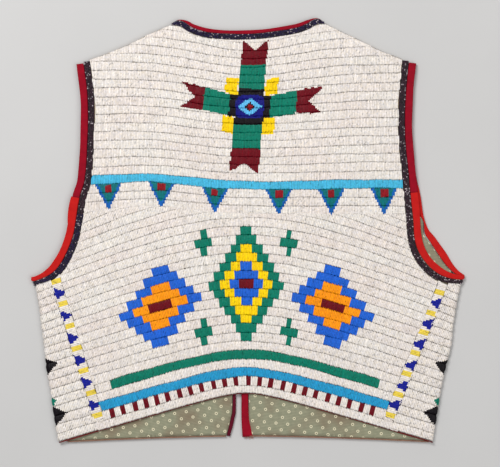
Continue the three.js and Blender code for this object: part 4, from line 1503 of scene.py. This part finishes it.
pale_thread = wool_material("pale_thread", linear(176, 96, 92), linear(226, 196, 178))
bind(frayed_threads("frayed_end", pale_thread), "right_front_edge_binding")

# The dark edgings
# Rows of five dark seed beads wrap the edge of the hide round the armholes and the neck. Here
# and there one is painted pale as a highlight on the glass, most often next to the red cloth.
EDGE_ROW = 1.8
EDGE_BEADS = 5
BEAD_ROUND = 0.00165
BEAD_HALF = 0.56
# Shares of the beads painted pale as highlights: among the rest, and in the row next to the red cloth
NAVY_BELOW = 282
GLINT_AMONG = 0.08
GLINT_AT_RED = 0.24
BEAD_CLEAR = 0.95


def edge_bead_tree(material):
    """Puts a small round bead on each point, turned as the point's own attribute says."""
    tree = bpy.data.node_groups.new("edge_beads", "GeometryNodeTree")
    interface = tree.interface
    interface.new_socket("Geometry", in_out="INPUT", socket_type="NodeSocketGeometry")
    size = interface.new_socket("Bead diameter", in_out="INPUT", socket_type="NodeSocketFloat")
    size.default_value = BEAD_ROUND
    interface.new_socket("Geometry", in_out="OUTPUT", socket_type="NodeSocketGeometry")
    nodes, links = tree.nodes, tree.links
    start = nodes.new("NodeGroupInput")
    end = nodes.new("NodeGroupOutput")
    ball = nodes.new("GeometryNodeMeshIcoSphere")
    ball.inputs["Subdivisions"].default_value = 1
    half = nodes.new("ShaderNodeMath")
    half.operation = "MULTIPLY"
    half.inputs[1].default_value = BEAD_HALF
    turn = nodes.new("GeometryNodeInputNamedAttribute")
    turn.data_type = "FLOAT_VECTOR"
    turn.inputs["Name"].default_value = "turn"
    on_points = nodes.new("GeometryNodeInstanceOnPoints")
    on_points.inputs["Scale"].default_value = (0.9, 1.0, 1.0)
    real = nodes.new("GeometryNodeRealizeInstances")
    soft = nodes.new("GeometryNodeSetShadeSmooth")
    finish = nodes.new("GeometryNodeSetMaterial")
    finish.inputs["Material"].default_value = material
    links.new(start.outputs["Bead diameter"], half.inputs[0])
    links.new(half.outputs[0], ball.inputs["Radius"])
    links.new(start.outputs["Geometry"], on_points.inputs["Points"])
    links.new(ball.outputs["Mesh"], on_points.inputs["Instance"])
    links.new(turn.outputs["Attribute"], on_points.inputs["Rotation"])
    links.new(on_points.outputs["Instances"], real.inputs["Geometry"])
    links.new(real.outputs["Geometry"], soft.inputs["Geometry"])
    links.new(soft.outputs["Geometry"], finish.inputs["Geometry"])
    links.new(finish.outputs["Geometry"], end.inputs["Geometry"])
    return tree


def edge_glass():
    material, tree, shader = new_material("dark_beads", 0.22)
    tint = tree.nodes.new("ShaderNodeAttribute")
    tint.attribute_name = "tint"
    dust = math_step(tree, "MULTIPLY", noise(tree, 900), 0.12)
    dusty = mixed(tree, dust, tint.outputs["Color"], linear(90, 70, 80))
    tree.links.new(dusty, shader.inputs["Base Color"])
    shader.inputs["Specular IOR Level"].default_value = 0.3
    shader.inputs["Coat Weight"].default_value = 0.15
    shader.inputs["Coat Roughness"].default_value = 0.2
    return material


dark_glass = edge_glass()
bead_tree = edge_bead_tree(dark_glass)


# A near-black strip under the edging's beads, which shows dark in the gaps between them
def edging_base_material():
    material, tree, shader = new_material("dark_base", 0.8)
    base = mixed(tree, noise(tree, 900), linear(8, 5, 10), linear(30, 20, 28))
    tree.links.new(base, shader.inputs["Base Color"])
    return material


dark_base = edging_base_material()


def edge_tints(name, h):
    """Plum and black beads on most of the edging, and navy ones low on the left and at the neck."""
    below = NAVY_BELOW if name.startswith("left") else 0
    navy = (h < below) | name.startswith("neck")
    return np.where(navy[:, None], linear(16, 6, 52), linear(46, 22, 34))


def edge_beads(name, run):
    """Rows of beads across a strip, at even steps along it."""
    way = np.concatenate([[0], np.cumsum(np.linalg.norm(np.diff(run["at"], axis=0), axis=1))])
    steps = np.arange(EDGE_ROW / 2, way[-1], EDGE_ROW)

    def at(values):
        if values.ndim == 1:
            return np.interp(steps, way, values)
        return np.stack([np.interp(steps, way, values[:, k]) for k in range(values.shape[1])], 1)

    place, out, up, wall, half = (at(run[key]) for key in ("at", "out", "up", "wall", "half"))
    up = up / np.linalg.norm(up, axis=1)[:, None]
    spots, turns, tints = [], [], []
    spread = 0.98 + random.uniform(-0.08, 0.05, len(steps))
    for j in range(EDGE_BEADS):
        share = (j + 0.5) / EDGE_BEADS * 2 - 1
        lift = wall - 0.86 - 0.55 * share**2
        jitter = random.uniform(-0.1, 0.1, (len(steps), 1))
        spot = place + out * (half * share * spread)[:, None] + up * lift[:, None] + out * jitter
        spots.append(spot)
        turns.append(np.stack([0 * steps, 0 * steps, np.arctan2(out[:, 1], out[:, 0])], 1))
        tint = edge_tints(name, place[:, 1]) * random.uniform(0.2, 1.8, (len(steps), 1))
        # Painted highlights: here and there a bead is painted pale, as a glint on the dark glass
        glint_share = GLINT_AT_RED if j == EDGE_BEADS - 1 else GLINT_AMONG
        glinting = random.random(len(steps)) < glint_share
        tint[glinting] = linear(186, 172, 178) * random.uniform(0.2, 1.1, (glinting.sum(), 1))
        tints.append(tint)
    points = np.vstack(spots)
    points[:, 2] = np.maximum(points[:, 2], BEAD_CLEAR)
    tints = np.vstack(tints)
    places = bpy.data.meshes.new(name)
    places.from_pydata(((points - MIDDLE) / 1000).tolist(), [], [])
    turn = places.attributes.new("turn", "FLOAT_VECTOR", "POINT")
    turn.data.foreach_set("vector", np.vstack(turns).ravel())
    tint = places.attributes.new("tint", "FLOAT_COLOR", "POINT")
    tint.data.foreach_set("color", np.hstack([tints, np.ones((len(tints), 1))]).ravel())
    carrier = bpy.data.objects.new(name + "_places", places)
    bpy.context.scene.collection.objects.link(carrier)
    modifier = carrier.modifiers.new("beads", "NODES")
    modifier.node_group = bead_tree
    evaluated = carrier.evaluated_get(bpy.context.evaluated_depsgraph_get())
    mesh = bpy.data.meshes.new_from_object(evaluated)
    bpy.data.objects.remove(carrier)
    piece = bpy.data.objects.new(name, mesh)
    bpy.context.scene.collection.objects.link(piece)
    return piece


neck_run = flat_stations(neck_curve, 1, SEAM, NECK_EDGING, "back", BINDING_WALL, neck_scale)
edging_runs = {"neck": part_of(neck_run, 1, -1)}
for name, side in SIDES.items():
    edging_run = armhole_run(side, -SEAM / 2, EDGING, BINDING_WALL, FRONT_EDGING_WALL)
    edging_runs[name + "_armhole"] = joined(*edging_run)
for name, run in edging_runs.items():
    base = cloth_strip(name + "_edging_base", run, dark_base, shrink=0.95, waves=0.05)
    beads = edge_beads(name + "_edging_beads", run)
    for piece in (base, beads):
        bind(piece, name + "_edging")

# How the pieces lie
# The back is sewn to the fronts at the shoulders and side seams, and the whole vest is one body.
beadwork = {"back_panel": [yoke_beadwork, skirt_beadwork]}
for name, side in SIDES.items():
    beadwork["back_panel"].append(side["border_beadwork"])
    beadwork[name + "_front_panel"] = [side["fold_beadwork"], side["under_beadwork"]]
for node, pieces in beadwork.items():
    for piece in pieces:
        bind(piece, node)


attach(back_hide, "root")
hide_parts("back_panel")
for name, side in SIDES.items():
    for key in ("front_hide", "fold_hide"):
        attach(side[key], "root")
        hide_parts(name + "_front_panel")
    bind(side["lining"], name + "_front_lining")
    lining_outline(side)

# The setting
# A plain pale floor under soft light, and a camera straight over the vest.
FLOOR = 3.0
CAMERA_HEIGHT = 2.2
VIEW_WIDTH = 0.6135
VIEW_MIDDLE = (0.0024, -0.0034)
SENSOR = 36.0
floor_mesh = bpy.data.meshes.new("floor")
corners = [(-FLOOR, -FLOOR, 0), (FLOOR, -FLOOR, 0), (FLOOR, FLOOR, 0), (-FLOOR, FLOOR, 0)]
floor_mesh.from_pydata(corners, [], [[0, 1, 2, 3]])
floor = bpy.data.objects.new("floor", floor_mesh)
bpy.context.scene.collection.objects.link(floor)
floor_paint, floor_tree, floor_shader = new_material("floor_paint", 0.7)
floor_tone = mixed(floor_tree, noise(floor_tree, 6), linear(182, 181, 180), linear(190, 189, 188))
floor_tree.links.new(floor_tone, floor_shader.inputs["Base Color"])
floor_mesh.materials.append(floor_paint)


def soft_light(name, place, size, power):
    data = bpy.data.lights.new(name, "AREA")
    data.size = size
    data.energy = power
    light = bpy.data.objects.new(name, data)
    light.location = place
    light.rotation_mode = "QUATERNION"
    light.rotation_quaternion = (-Vector(place)).to_track_quat("-Z", "Y")
    bpy.context.scene.collection.objects.link(light)


soft_light("key_light", (-0.8, 1.1, 1.9), 1.0, 42)
soft_light("fill_light", (1.2, -0.6, 2.0), 1.6, 19)
world = bpy.data.worlds.new("studio")
world.use_nodes = True
world.node_tree.nodes["Background"].inputs["Color"].default_value = (1, 1, 1, 1)
world.node_tree.nodes["Background"].inputs["Strength"].default_value = 0.42
bpy.context.scene.world = world
bpy.context.scene.view_settings.view_transform = "Standard"

camera_data = bpy.data.cameras.new("camera")
camera_data.sensor_width = SENSOR
camera_data.lens = SENSOR * CAMERA_HEIGHT / VIEW_WIDTH
camera = bpy.data.objects.new("camera", camera_data)
camera.location = (*VIEW_MIDDLE, CAMERA_HEIGHT)
bpy.context.scene.collection.objects.link(camera)
bpy.context.scene.camera = camera
